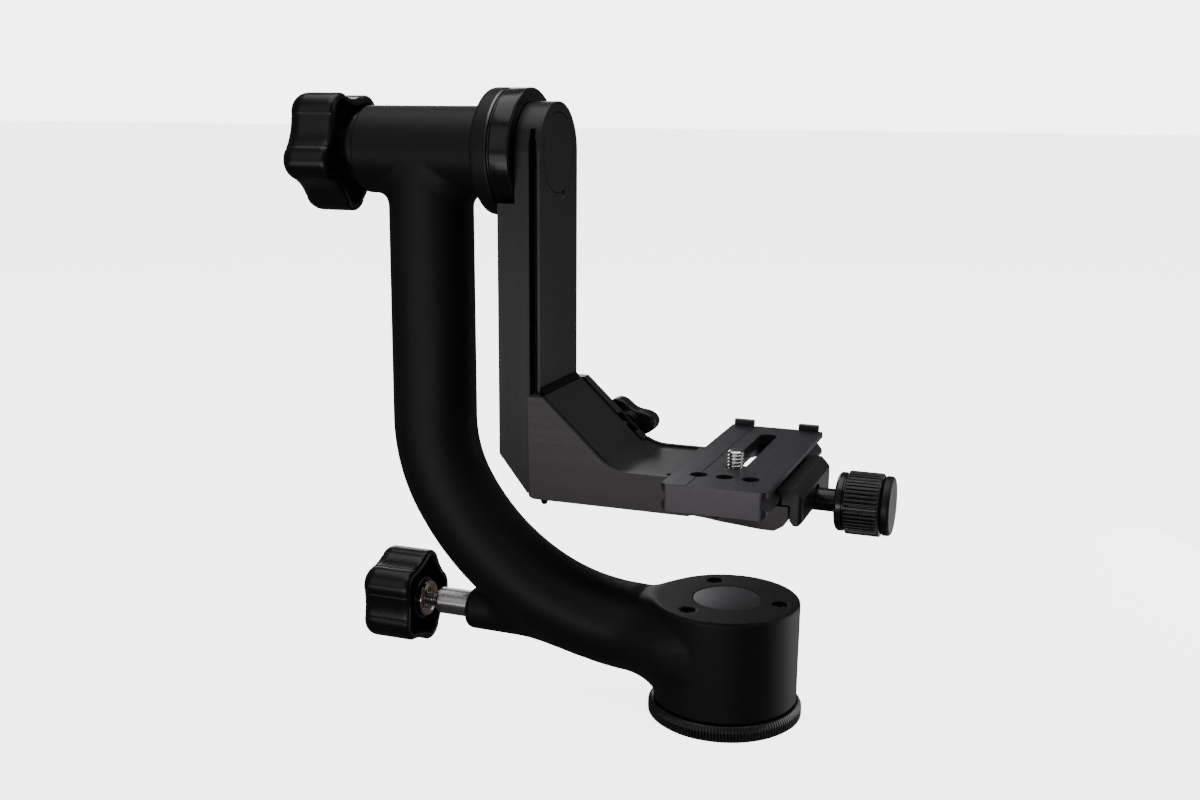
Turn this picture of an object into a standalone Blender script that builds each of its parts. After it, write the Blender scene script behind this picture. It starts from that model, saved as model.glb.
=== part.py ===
# Gimbal tripod head: gooseneck arm on a panning base, swing rail hanging from a
# cross tube, sliding platform bracket with a dovetail clamp and a long lens plate.
# Frame: origin on the pan axis at the underside of the base, +Z up the pan axis,
# +X along the tilt axis towards the clamp knob, +Y along the lens direction.
# All driving dimensions are millimetres; geometry is scaled to metres on creation.
import bpy
import bmesh
import math
from mathutils import Vector

MM = 0.001
GAP = 0.3                      # running gap left between touching pieces

# ---- base and pan ----
BASE_R = 30.0                  # knurled base disc, outside
BASE_H = 6.2
BARREL_R_TOP = 28.2            # barrel of the arm that turns on the base
BARREL_R_BOT = 27.9
BARREL_Z0 = 6.7
BARREL_Z1 = 46.5
BARREL_BORE = 24.5
BARREL_ROOF = 40.5
SPINDLE_R = 11.0
SPINDLE_Z1 = 39.5
SOCKET_R = 4.4                 # 3/8 inch tripod thread, minor side
SOCKET_DEPTH = 18.0
CARRIER_R = 24.2
CARRIER_BORE = 16.0
CAP_R = 13.1
CAP_T = 1.15
CAP_SCREW_PCR = 20.5
CAP_SCREW_ANGLES = (2.0, 119.0, 239.0)

# ---- gooseneck ----
POST_X = -124.35
POST_R = 16.65
BEND_Z = 108.26
BEND_1 = (61.92, 0.524)        # radius, turning angle
BEND_2 = (96.41, 0.639)
FOOT_L = 32.45
FOOT_SLOPE = 0.06
TUBE_Z = 214.7                 # tilt axis height
TUBE_R = 17.1
TUBE_X0 = -151.0
TUBE_BORE = 12.5
FLANGE_R = 24.1
FLANGE_X0 = -96.8
FLANGE_X1 = -89.9
BOSS_R = 9.2
BOSS_X0 = -109.8
LOCK_Z = 29.0
LOCK_BORE = 5.8

# ---- tilt pack ----
AXLE_R = 8.0
DISC_R = 24.1
DISC_X0 = -88.5
DISC_X1 = -80.5
WASHER_R = 23.3
RAIL_X0 = -87.3
RAIL_XR = -80.15               # recessed face behind the disc
RAIL_XG = -74.4                # far wall of the dovetail groove
RAIL_XL = -71.1                # edge of the dovetail lip
RAIL_X1 = -70.1
RAIL_W = 19.0                  # half width, 38 mm dovetail
RAIL_NECK = 16.0
RAIL_Z0 = 85.6
RAIL_POCKET_R = 26.4
RAIL_CAP_R = 14.9
STOP_X, STOP_Y = -72.4, -9.5    # screw that keeps the platform on the rail

# ---- lobed knobs ----
TK_R, TK_A, TK_V, TK_PHASE = 24.6, 8.6, 20.0, 51.2     # crest, lobe and hollow radii
TK_X0, TK_X1 = -178.6, -157.6
PK_R, PK_A, PK_V, PK_PHASE = 20.1, 7.8, 17.1, 71.3
PK_X0, PK_X1 = -151.9, -129.8
LOBES = 5

# ---- platform bracket ----
BR_X0 = -73.0
BR_W = 24.5
BR_Z0 = 85.2
BR_Z1 = 125.0
BR_TOP = 99.4
BR_SLOPE = ((-67.0, 125.0), (-54.4, 112.6), (-43.6, 103.3), (-40.0, 100.9), (-36.6, 99.6), (-34.0, 99.4))
LIP = 2.0
LIP_H = 0.8
CL_W = 27.0
CL_X1 = 28.3
CL_Z0 = 84.2
CL_FLOOR = 93.5
JAW_W = 25.5
KNOB3_X, KNOB3_Z = -51.2, 105.0
KNOB3_R = 11.8

# ---- lens plate ----
PL_XC = 6.3
PL_W = 19.0
PL_Y0, PL_Y1 = -48.0, 49.0
PL_Z0, PL_Z1 = 93.8, 103.8
SLOT_W = 3.5
SLOT_Y0, SLOT_Y1 = -20.5, 36.5
SCREW_Y = -16.8
HOLE_Y = -32.3
HOLE_DX = 9.5
HOLE_R = 3.15
CK_Z = 90.0
CK_R = 11.7

for _ob in list(bpy.data.objects):
    bpy.data.objects.remove(_ob, do_unlink=True)

# ------------------------------------------------------------------ materials
def material(name, rgb, metallic, rough):
    m = bpy.data.materials.new(name)
    m.use_nodes = True
    b = m.node_tree.nodes["Principled BSDF"]
    b.inputs["Base Color"].default_value = (rgb[0], rgb[1], rgb[2], 1.0)
    b.inputs["Metallic"].default_value = metallic
    b.inputs["Roughness"].default_value = rough
    m.diffuse_color = (rgb[0], rgb[1], rgb[2], 1.0)
    return m

def tone(kind, name):
    table = {
        "coat": ((0.018, 0.018, 0.020), 0.0, 0.55),
        "anod": ((0.045, 0.042, 0.042), 0.7, 0.42),
        "plate": ((0.075, 0.068, 0.082), 0.7, 0.45),
        "gloss": ((0.020, 0.020, 0.022), 0.6, 0.20),
        "plastic": ((0.020, 0.020, 0.021), 0.0, 0.38),
        "steel": ((0.55, 0.55, 0.56), 1.0, 0.25),
        "dark": ((0.10, 0.10, 0.105), 0.9, 0.35),
        "brass": ((0.55, 0.38, 0.20), 1.0, 0.30),
        "polymer": ((0.60, 0.60, 0.58), 0.0, 0.50),
        "cap": ((0.085, 0.080, 0.088), 0.5, 0.45),
    }
    rgb, me, ro = table[kind]
    return material(name + "_mat", rgb, me, ro)

# ------------------------------------------------------------------ mesh tools
def finish(bm, name, kind, origin=(0.0, 0.0, 0.0), crease=32.0):
    """Turn a bmesh in millimetres into a named object with its own material."""
    bmesh.ops.remove_doubles(bm, verts=bm.verts, dist=0.0008)
    bmesh.ops.dissolve_degenerate(bm, edges=bm.edges, dist=0.0008)
    bmesh.ops.recalc_face_normals(bm, faces=bm.faces)
    o = Vector(origin)
    for v in bm.verts:
        v.co = (v.co - o) * MM
    for f in bm.faces:
        f.smooth = True
    lim = math.radians(crease)
    for e in bm.edges:
        if len(e.link_faces) == 2:
            e.smooth = e.calc_face_angle(0.0) < lim
    me = bpy.data.meshes.new(name)
    bm.to_mesh(me)
    bm.free()
    ob = bpy.data.objects.new(name, me)
    ob.location = o * MM
    ob.data.materials.append(tone(kind, name))
    bpy.context.scene.collection.objects.link(ob)
    return ob

AXES = {"X": (Vector((0, 1, 0)), Vector((0, 0, 1)), Vector((1, 0, 0))),
        "Y": (Vector((0, 0, 1)), Vector((1, 0, 0)), Vector((0, 1, 0))),
        "Z": (Vector((1, 0, 0)), Vector((0, 1, 0)), Vector((0, 0, 1)))}

def rings(bm, loops, closed_ends=True, wrap=False):
    """Skin a list of equal length point loops; a loop of one point closes a fan."""
    made = []
    for lp in loops:
        made.append([bm.verts.new(p) for p in lp])
    pairs = list(zip(made[:-1], made[1:]))
    if wrap:
        pairs.append((made[-1], made[0]))
    for a, b in pairs:
        if len(a) == 1 and len(b) == 1:
            continue
        if len(a) == 1:
            n = len(b)
            for i in range(n):
                bm.faces.new((a[0], b[i], b[(i + 1) % n]))
        elif len(b) == 1:
            n = len(a)
            for i in range(n):
                bm.faces.new((a[(i + 1) % n], a[i], b[0]))
        else:
            n = len(a)
            for i in range(n):
                j = (i + 1) % n
                bm.faces.new((a[i], b[i], b[j], a[j]))
    if closed_ends and not wrap:
        for lp in (made[0], made[-1]):
            if len(lp) > 2:
                bm.faces.new(lp)

def lathe(profile, axis="Z", centre=(0, 0, 0), n=40, phase=0.0):
    """Revolve (radius, height) points. Points at radius 0 close the ends;
    a profile with none of them is a closed ring section."""
    u, v, w = AXES[axis]
    c = Vector(centre)
    bm = bmesh.new()
    loops = []
    for r, h in profile:
        if r <= 1e-9:
            loops.append([c + w * h])
        else:
            loops.append([c + w * h + u * (r * math.cos(phase + 2 * math.pi * i / n))
                          + v * (r * math.sin(phase + 2 * math.pi * i / n)) for i in range(n)])
    solid = profile[0][0] <= 1e-9 and profile[-1][0] <= 1e-9
    rings(bm, loops, closed_ends=False, wrap=not solid)
    bmesh.ops.recalc_face_normals(bm, faces=bm.faces)
    return bm

def cyl(axis, a, b, r, at, n=32, phase=0.0):
    """Plain cylinder along an axis from a to b, centred on the other two coordinates."""
    c = {"X": (0, at[0], at[1]), "Y": (at[0], 0, at[1]), "Z": (at[0], at[1], 0)}[axis]
    return lathe([(0, a), (r, a), (r, b), (0, b)], axis, c, n, phase)

def ring(axis, a, b, r0, r1, at, n=40, ch=0.0):
    c = {"X": (0, at[0], at[1]), "Y": (at[0], 0, at[1]), "Z": (at[0], at[1], 0)}[axis]
    if ch > 0:
        p = [(r0, a), (r1 - ch, a), (r1, a + ch), (r1, b - ch), (r1 - ch, b), (r0, b)]
    else:
        p = [(r0, a), (r1, a), (r1, b), (r0, b)]
    return lathe(p, axis, c, n)

def prism(outline, axis, a, b):
    """Extrude a 2D outline. Axis X: (y, z); Y: (x, z); Z: (x, y)."""
    bm = bmesh.new()
    def at(p, h):
        if axis == "X":
            return Vector((h, p[0], p[1]))
        if axis == "Y":
            return Vector((p[0], h, p[1]))
        return Vector((p[0], p[1], h))
    lo = [bm.verts.new(at(p, a)) for p in outline]
    hi = [bm.verts.new(at(p, b)) for p in outline]
    n = len(outline)
    bm.faces.new(lo)
    bm.faces.new(hi)
    for i in range(n):
        j = (i + 1) % n
        bm.faces.new((lo[i], lo[j], hi[j], hi[i]))
    bmesh.ops.recalc_face_normals(bm, faces=bm.faces)
    return bm

def temp(bm, label):
    me = bpy.data.meshes.new(label)
    bmesh.ops.recalc_face_normals(bm, faces=bm.faces)
    bm.to_mesh(me)
    bm.free()
    ob = bpy.data.objects.new(label, me)
    bpy.context.scene.collection.objects.link(ob)
    return ob

def combine(base, ops):
    """Exact booleans applied in order on a millimetre mesh; returns a bmesh."""
    cur = temp(base, "work")
    for kind, tool in ops:
        t = temp(tool, "tool")
        m = cur.modifiers.new("b", "BOOLEAN")
        m.operation = kind
        m.solver = "EXACT"
        m.object = t
        dg = bpy.context.evaluated_depsgraph_get()
        me = bpy.data.meshes.new_from_object(cur.evaluated_get(dg))
        bpy.data.objects.remove(cur, do_unlink=True)
        bpy.data.objects.remove(t, do_unlink=True)
        b2 = bmesh.new()
        b2.from_mesh(me)
        bpy.data.meshes.remove(me)
        bmesh.ops.remove_doubles(b2, verts=b2.verts, dist=0.0005)
        bmesh.ops.dissolve_degenerate(b2, edges=b2.edges, dist=0.0005)
        cur = temp(b2, "work")
    out = bmesh.new()
    out.from_mesh(cur.data)
    bpy.data.objects.remove(cur, do_unlink=True)
    return out

CUT, ADD, AND = "DIFFERENCE", "UNION", "INTERSECT"
TA = (0.0, TUBE_Z)             # tilt axis as (y, z)

# ================================================================== base body
finish(lathe([(9.3, 0.0), (29.3, 0.0), (BASE_R, 0.7), (BASE_R, 4.1), (28.4, BASE_H),
              (12.5, BASE_H), (12.5, 2.6), (9.3, 2.6)], "Z", n=48), "knurled_base", "gloss")

finish(combine(lathe([(0, 0.4 + SOCKET_DEPTH), (SOCKET_R, 0.4 + SOCKET_DEPTH - 1.5), (SOCKET_R, 0.4), (9.0, 0.4), (9.0, 2.9), (12.2, 2.9),
                      (12.2, 6.2), (SPINDLE_R, 6.6), (SPINDLE_R, 25.0), (10.4, 25.6), (10.4, 32.4),
                      (SPINDLE_R, 33.0), (SPINDLE_R, SPINDLE_Z1), (0, SPINDLE_Z1)], "Z", n=28),
               [(CUT, cyl("Z", 29.5, 41.0, 2.6, (0, 0), 12))]), "pan_spindle", "steel")

finish(ring("Z", 39.8, 41.6, 2.7, 11.8, (0, 0), 28), "spindle_washer", "steel")
finish(lathe([(0, 30.0), (2.3, 30.0), (2.3, 41.9), (5.0, 41.9), (5.0, 44.6), (4.6, 44.9), (2.3, 44.9),
              (2.3, 42.9), (0, 42.9)], "Z", n=12), "spindle_bolt", "dark")

# ================================================================== arm body
def arm_path():
    pts = [(POST_X, TUBE_Z, POST_R, POST_R), (POST_X, 165.0, POST_R + 0.05, POST_R + 0.05), (POST_X, BEND_Z, 16.9, 16.9)]
    ang = -math.pi / 2
    px, pz = POST_X, BEND_Z
    for rad, turn, steps in ((BEND_1[0], BEND_1[1], 5), (BEND_2[0], BEND_2[1], 6)):
        for k in range(steps):
            a0 = ang
            ang += turn / steps
            am = 0.5 * (a0 + ang)
            px += rad * turn / steps * math.cos(am)
            pz += rad * turn / steps * math.sin(am)
            pts.append((px, pz, 16.9, 16.9))
    rem = -FOOT_SLOPE - ang
    steps = 4
    for k in range(steps):
        ang += rem / steps
        px += FOOT_L / steps * math.cos(ang)
        pz += FOOT_L / steps * math.sin(ang)
        t = (k + 1) / steps
        pts.append((px, pz, 16.9 + 0.3 * t, 16.9 + 1.6 * t * t))
    pts.append((px + 8.0, pz - 0.6, 17.1, 20.6))
    pts.append((px + 15.0, pz - 1.0, 17.1, 24.0))
    pts.append((px + 22.0, pz - 1.2, 17.1, 25.6))
    return pts

def sweep(path, n=24):
    bm = bmesh.new()
    loops = []
    m = len(path)
    for i, (x, z, ru, rv) in enumerate(path):
        a = path[max(i - 1, 0)]
        b = path[min(i + 1, m - 1)]
        t = Vector((b[0] - a[0], 0, b[1] - a[1])).normalized()
        nrm = Vector((-t.z, 0, t.x))
        side = Vector((0, 1, 0))
        loops.append([Vector((x, 0, z)) + nrm * (ru * math.cos(2 * math.pi * k / n))
                      + side * (rv * math.sin(2 * math.pi * k / n)) for k in range(n)])
    rings(bm, loops)
    bmesh.ops.recalc_face_normals(bm, faces=bm.faces)
    return bm

barrel = lathe([(0, BARREL_Z0), (BARREL_R_BOT, BARREL_Z0), (BARREL_R_TOP, BARREL_Z1 - 0.8),
                (BARREL_R_TOP - 0.8, BARREL_Z1), (0, BARREL_Z1)], "Z", n=40)
cross = lathe([(0, TUBE_X0), (TUBE_R - 0.8, TUBE_X0), (TUBE_R, TUBE_X0 + 0.8), (TUBE_R, FLANGE_X0),
               (FLANGE_R - 2.6, FLANGE_X0), (FLANGE_R - 0.7, FLANGE_X0 + 0.8), (FLANGE_R, FLANGE_X0 + 2.8),
               (FLANGE_R, FLANGE_X1 - 0.6), (FLANGE_R - 0.6, FLANGE_X1), (0, FLANGE_X1)], "X", (0, 0, TUBE_Z), 36)
boss = lathe([(0, BOSS_X0), (BOSS_R - 3.0, BOSS_X0), (BOSS_R - 1.5, BOSS_X0 + 0.4), (BOSS_R - 0.4, BOSS_X0 + 1.5), (BOSS_R, BOSS_X0 + 3.0),
              (BOSS_R + 0.5, -60.0), (0, -60.0)],
             "X", (0, 0, LOCK_Z), 20)
web = prism([(-8.2, LOCK_Z), (8.2, LOCK_Z), (8.2, 48.0), (-8.2, 48.0)], "X", BOSS_X0 + 1.6, -80.0)
arm_ops = [(ADD, barrel), (ADD, cross), (ADD, boss), (ADD, web),
           (CUT, cyl("Z", 0.0, BARREL_ROOF, BARREL_BORE, (0, 0), 32)),
           (CUT, cyl("Z", 38.0, 50.0, 12.2, (0, 0), 28)),
           (CUT, cyl("Z", BARREL_Z1 - 1.45, 50.0, CAP_R + 0.3, (0, 0), 32)),
           (CUT, cyl("X", -160.0, -80.0, TUBE_BORE, TA, 28)),
           (CUT, cyl("X", -120.0, -20.0, LOCK_BORE, (0, LOCK_Z), 12))]
for ang in CAP_SCREW_ANGLES:
    cx = CAP_SCREW_PCR * math.cos(math.radians(ang))
    cy = CAP_SCREW_PCR * math.sin(math.radians(ang))
    arm_ops.append((CUT, cyl("Z", BARREL_Z1 - 4.2, 50.0, 3.1, (cx, cy), 14)))
    arm_ops.append((CUT, cyl("Z", 38.0, 50.0, 1.9, (cx, cy), 10)))
finish(combine(sweep(arm_path()), arm_ops), "gooseneck_arm", "coat")

carrier_ops = [(CUT, cyl("X", -30.0, -10.0, 4.3, (0, LOCK_Z), 12))]
for ang in CAP_SCREW_ANGLES:
    cx = CAP_SCREW_PCR * math.cos(math.radians(ang))
    cy = CAP_SCREW_PCR * math.sin(math.radians(ang))
    carrier_ops.append((CUT, cyl("Z", 34.0, 45.0, 1.9, (cx, cy), 10)))
finish(combine(ring("Z", 7.2, 40.2, CARRIER_BORE, CARRIER_R, (0, 0), 32), carrier_ops), "bearing_carrier", "dark")
finish(ring("Z", 8.5, 18.5, SPINDLE_R + GAP, CARRIER_BORE - GAP, (0, 0), 28), "pan_bearing_lower", "steel")
finish(ring("Z", 34.0, 39.5, SPINDLE_R + GAP, CARRIER_BORE - GAP, (0, 0), 28), "pan_bearing_upper", "steel")
finish(cyl("Z", BARREL_Z1 - 1.15, BARREL_Z1 - 0.05, CAP_R, (0, 0), 32), "base_cap_disc", "cap")
for k, ang in enumerate(CAP_SCREW_ANGLES):
    cx = CAP_SCREW_PCR * math.cos(math.radians(ang))
    cy = CAP_SCREW_PCR * math.sin(math.radians(ang))
    finish(lathe([(0, 34.6), (1.6, 34.6), (1.6, 42.6), (2.8, 42.6), (2.8, 45.1), (2.5, 45.4), (1.25, 45.4),
                  (1.25, 43.8), (0, 43.8)], "Z", (cx, cy, 0), 10), "cap_screw_" + "abc"[k], "dark")
finish(ring("X", -123.6, -80.0, 4.2, LOCK_BORE - 0.3, (0, LOCK_Z), 24), "pan_lock_sleeve", "steel")
finish(ring("X", -150.4, -143.4, AXLE_R + GAP, TUBE_BORE - GAP, TA, 24), "tilt_bearing_outer", "steel")
finish(ring("X", -143.1, -103.3, 10.2, TUBE_BORE - GAP, TA, 20), "tilt_spacer", "dark")
finish(ring("X", -103.0, -93.0, AXLE_R + GAP, TUBE_BORE - GAP, TA, 24), "tilt_bearing_inner", "steel")

# ================================================================== pan lock
LC = (0.0, LOCK_Z)
finish(lathe([(0, -33.6), (3.9, -33.6), (3.9, -11.6), (3.3, -11.0), (0, -11.0)], "X", (0, 0, LOCK_Z), 12),
       "pan_brake_shoe", "brass", origin=(-22.0, 0, LOCK_Z))
finish(lathe([(0, -143.0), (3.4, -143.0), (3.9, -142.4), (3.9, -34.4), (3.4, -33.9), (0, -33.9)], "X", (0, 0, LOCK_Z), 12),
       "pan_lock_stud", "steel", origin=(-120.0, 0, LOCK_Z))
finish(lathe([(4.2, -144.0), (6.5, -144.0), (6.5, -130.6), (7.6, -130.6), (7.6, -128.5), (4.2, -128.5)],
             "X", (0, 0, LOCK_Z), 20), "pan_knob_insert", "brass", origin=(-136.0, 0, LOCK_Z))

def lobe(theta, rc, a, rv, phase):
    """Knob outline: round lobes of radius a reaching rc, joined by tangent hollows that come in to rv."""
    half = math.pi / LOBES
    c = rc - a
    b = (c * c + rv * rv - 2 * c * rv * math.cos(half) - a * a) / (2 * (a - rv + c * math.cos(half)))
    d = rv + b
    k = a / (a + b)
    tangent = math.atan2(d * math.sin(half) * k, c + (d * math.cos(half) - c) * k)
    u = abs((theta - math.radians(phase) + half) % (2 * half) - half)
    if u <= tangent:
        return c * math.cos(u) + math.sqrt(max(0.0, a * a - (c * math.sin(u)) ** 2))
    w = half - u
    return d * math.cos(w) - math.sqrt(max(0.0, b * b - (d * math.sin(w)) ** 2))

def lobed_knob(x0, x1, rc, a, rv, phase, zc, wall, hub_r, hub_x, bore_r, bore_x, n=60):
    """Hollow backed star knob on an X axis; x0 is the closed face, x1 the open rim."""
    def loop(x, kind, off):
        out = []
        for i in range(n):
            t = 2 * math.pi * i / n
            r = off if kind == "round" else lobe(t, rc, a, rv, phase) + off
            out.append(Vector((x, r * math.cos(t), zc + r * math.sin(t))))
        return out
    lp = [[Vector((x0, 0, zc))], loop(x0, "lobe", -4.2), loop(x0 + 0.7, "lobe", -1.6), loop(x0 + 2.6, "lobe", 0.0),
          loop(x1 - 1.0, "lobe", 0.0), loop(x1, "lobe", -0.9), loop(x1, "lobe", -wall),
          loop(x0 + 5.0, "lobe", -wall - 0.6), loop(x0 + 5.0, "round", hub_r + 0.4), loop(hub_x, "round", hub_r),
          loop(hub_x, "round", bore_r), loop(bore_x, "round", bore_r), [Vector((bore_x, 0, zc))]]
    bm = bmesh.new()
    rings(bm, lp, closed_ends=False)
    bmesh.ops.recalc_face_normals(bm, faces=bm.faces)
    return bm

finish(lobed_knob(PK_X0, PK_X1, PK_R, PK_A, PK_V, PK_PHASE, LOCK_Z, 2.6, 9.0, -131.0, 6.8, -145.5),
       "pan_knob", "plastic", origin=(-141.0, 0, LOCK_Z))

# ================================================================== swing body
finish(combine(lathe([(0, -172.0), (3.4, -172.0), (3.9, -171.4), (3.9, -151.0), (AXLE_R - 0.4, -151.0), (AXLE_R, -150.6),
                      (AXLE_R, -80.5), (6.0, -80.5), (6.0, -76.0), (0, -76.0)], "X", (0, 0, TUBE_Z), 24),
               [(CUT, cyl("X", -95.0, -70.0, 2.6, TA, 12))]), "tilt_axle", "steel")
finish(lathe([(0, -92.0), (2.3, -92.0), (2.3, -74.9), (7.4, -74.9), (7.4, -72.2), (7.0, -71.8), (2.0, -71.8),
              (2.0, -73.6), (0, -73.6)], "X", (0, 0, TUBE_Z), 16), "axle_screw", "dark")
finish(ring("X", -89.6, -88.8, AXLE_R + GAP, WASHER_R, TA, 36), "friction_washer", "polymer")
finish(ring("X", DISC_X0, DISC_X1, AXLE_R + GAP, DISC_R, TA, 40, 0.5), "tilt_disc", "gloss")

def stadium(w, zc, z0, steps=20):
    pts = [(w, z0), (w, zc)]
    for k in range(1, steps):
        a = math.pi * k / steps
        pts.append((w * math.cos(a), zc + w * math.sin(a)))
    pts += [(-w, zc), (-w, z0)]
    return pts

rail_xy = [(RAIL_X0, -RAIL_W), (RAIL_XG, -RAIL_W), (RAIL_XG, -RAIL_NECK), (RAIL_XL - 3.0, -RAIL_NECK),
           (RAIL_XL, -RAIL_W), (RAIL_X1, -RAIL_W), (RAIL_X1, RAIL_W), (RAIL_XL, RAIL_W),
           (RAIL_XL - 3.0, RAIL_NECK), (RAIL_XG, RAIL_NECK), (RAIL_XG, RAIL_W), (RAIL_X0, RAIL_W)]
rail = combine(prism(rail_xy, "Z", RAIL_Z0, TUBE_Z + 25.0), [
    (AND, prism(stadium(RAIL_W, TUBE_Z, RAIL_Z0 - 5.0), "X", -100.0, -60.0)),
    (CUT, cyl("X", -100.0, RAIL_XR, RAIL_POCKET_R, TA, 48)),
    (CUT, prism([(RAIL_X0 - 1.0, 101.6), (RAIL_X0 - 1.0, RAIL_Z0 - 3.0), (-73.3, RAIL_Z0 - 3.0)], "Y", -25.0, 25.0)),
    (CUT, cyl("X", -90.0, -75.0, 6.3, TA, 16)),
    (CUT, cyl("X", -75.2, -60.0, 7.8, TA, 16)),
    (CUT, cyl("X", -71.5, -60.0, RAIL_CAP_R + 0.3, TA, 32)),
    (CUT, cyl("Z", 80.0, 98.0, 1.6, (STOP_X, STOP_Y), 10))])
finish(rail, "swing_rail", "anod")
finish(cyl("X", -71.2, RAIL_X1 - 0.02, RAIL_CAP_R, TA, 32), "rail_cap_disc", "cap")
finish(lathe([(0, 79.0), (1.8, 79.0), (2.9, 82.2), (2.9, 84.9), (1.3, 84.9), (1.3, 96.5), (0, 96.5)], "Z", (STOP_X, STOP_Y, 0), 12),
       "rail_stop_screw", "dark")

# ================================================================== tilt lock
finish(ring("X", -154.3, -151.3, 4.3, 15.0, TA, 28), "tilt_thrust_washer", "dark", origin=(-152.8, 0, TUBE_Z))
finish(ring("X", -171.0, -154.8, 4.2, 6.5, TA, 20), "tilt_knob_insert", "brass", origin=(-163.0, 0, TUBE_Z))
finish(lobed_knob(TK_X0, TK_X1, TK_R, TK_A, TK_V, TK_PHASE, TUBE_Z, 2.8, 9.2, -154.7, 6.8, -172.5),
       "tilt_knob", "plastic", origin=(-168.0, 0, TUBE_Z))

# ================================================================== platform body
slope = list(BR_SLOPE)
br_xz = [(BR_X0, 87.4), (BR_X0 + 0.6, 85.9), (BR_X0 + 2.2, BR_Z0), (-10.0, BR_Z0), (4.0, CL_Z0), (23.5, CL_Z0), (27.0, 86.4),
         (CL_X1, 89.6), (CL_X1, CL_FLOOR), (-13.05, CL_FLOOR), (-13.05, 96.3), (-11.0, 98.75), (-11.0, 99.1), (-11.4, BR_TOP)]
br_xz += [(x, z) for x, z in reversed(slope)] + [(BR_X0, BR_Z1)]
plan = [(-80.0, -BR_W), (-9.6, -BR_W), (-8.4, -22.2), (-2.0, -22.6), (5.0, -23.6), (11.5, -25.2), (16.5, -26.5), (20.0, -CL_W), (35.0, -CL_W)]
plan = plan + [(x, -y) for x, y in reversed(plan)]
chan = [(-19.0, 99.4 - LIP_H), (-34.2, 99.4 - LIP_H), (-36.9, 99.6 - LIP_H), (-40.5, 100.9 - LIP_H - 0.1), (-44.2, 103.3 - LIP_H - 0.2),
        (-55.0, 112.6 - LIP_H - 0.3), (-68.6, 125.4), (-68.6, 130.0), (-19.0, 130.0)]
slot_xy = [(-69.8, -19.3), (-71.22, -19.3), (-74.32, -16.2), (-85.0, -16.2), (-85.0, 19.3), (-69.8, 19.3)]
JX1 = -41.5
jaw_xz = [(BR_X0, 90.0), (BR_X0, BR_Z1), (-67.0, BR_Z1), (-54.4, 112.6), (-43.6, 103.3), (JX1, 101.9), (JX1, 90.0)]
jaw_cut = [(-90.0, 89.7), (-90.0, 140.0), (JX1 + 0.3, 140.0), (JX1 + 0.3, 89.7)]
bracket = combine(prism(br_xz, "Y", -30.0, 30.0), [
    (AND, prism(plan, "Z", 70.0, 140.0)),
    (CUT, prism(chan, "Y", -BR_W + LIP, BR_W - LIP)),
    (CUT, prism(slot_xy, "Z", 70.0, 140.0)),
    (CUT, prism(jaw_cut, "Y", 19.0, 40.0)),
    (CUT, cyl("Y", -4.0, 21.0, 2.7, (KNOB3_X, KNOB3_Z), 12)),
    (CUT, cyl("X", 15.0, 35.0, 3.3, (0.0, CK_Z), 14)),
    (CUT, cyl("X", 15.0, 35.0, 1.9, (-16.0, CK_Z), 10)),
    (CUT, cyl("X", 15.0, 35.0, 1.9, (16.0, CK_Z), 10))])
finish(bracket, "platform_bracket", "anod")

jaw_xy = [(BR_X0, BR_W), (BR_X0, 17.52), (-71.22, 19.3), (JX1, 19.3), (JX1, BR_W)]
rail_jaw = combine(prism(jaw_xy, "Z", 89.0, 130.0), [
    (AND, prism(jaw_xz, "Y", 10.0, 30.0)),
    (CUT, cyl("Y", 10.0, 30.0, 2.8, (KNOB3_X, KNOB3_Z), 12)),
    (CUT, cyl("Y", 17.0, 23.3, 6.3, (KNOB3_X, KNOB3_Z), 24))])
finish(rail_jaw, "rail_jaw", "anod", origin=(-60.0, 21.9, 105.0))
finish(lathe([(0, -3.0), (2.0, -3.0), (2.4, -2.6), (2.4, 32.0), (0, 32.0)], "Y", (KNOB3_X, 0, KNOB3_Z), 12),
       "height_screw", "steel", origin=(KNOB3_X, 14.0, KNOB3_Z))

def tri_knob(n=36):
    """Three lobed grip on a Y axis with a round hub facing the bracket."""
    def loop(y, hub, off):
        out = []
        for i in range(n):
            t = 2 * math.pi * i / n
            if hub:
                r = off
            else:
                c = 0.5 + 0.5 * math.cos(3 * (t - math.radians(127.0)))
                r = 6.8 + (KNOB3_R - 6.8) * c ** 1.3 + off
            out.append(Vector((KNOB3_X + r * math.cos(t), y, KNOB3_Z + r * math.sin(t))))
        return out
    lp = [loop(24.9, True, 2.7), loop(24.9, True, 5.4), loop(27.6, True, 5.4), loop(27.6, False, -0.9), loop(28.4, False, 0.0),
          loop(34.8, False, 0.0), loop(35.8, False, -1.0), [Vector((KNOB3_X, 36.1, KNOB3_Z))]]
    bm = bmesh.new()
    start = [Vector((KNOB3_X, 32.4, KNOB3_Z))]
    rings(bm, [start, loop(32.4, True, 2.7)] + lp, closed_ends=False)
    bmesh.ops.recalc_face_normals(bm, faces=bm.faces)
    return bm
finish(tri_knob(), "height_knob", "plastic", origin=(KNOB3_X, 30.0, KNOB3_Z))

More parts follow.
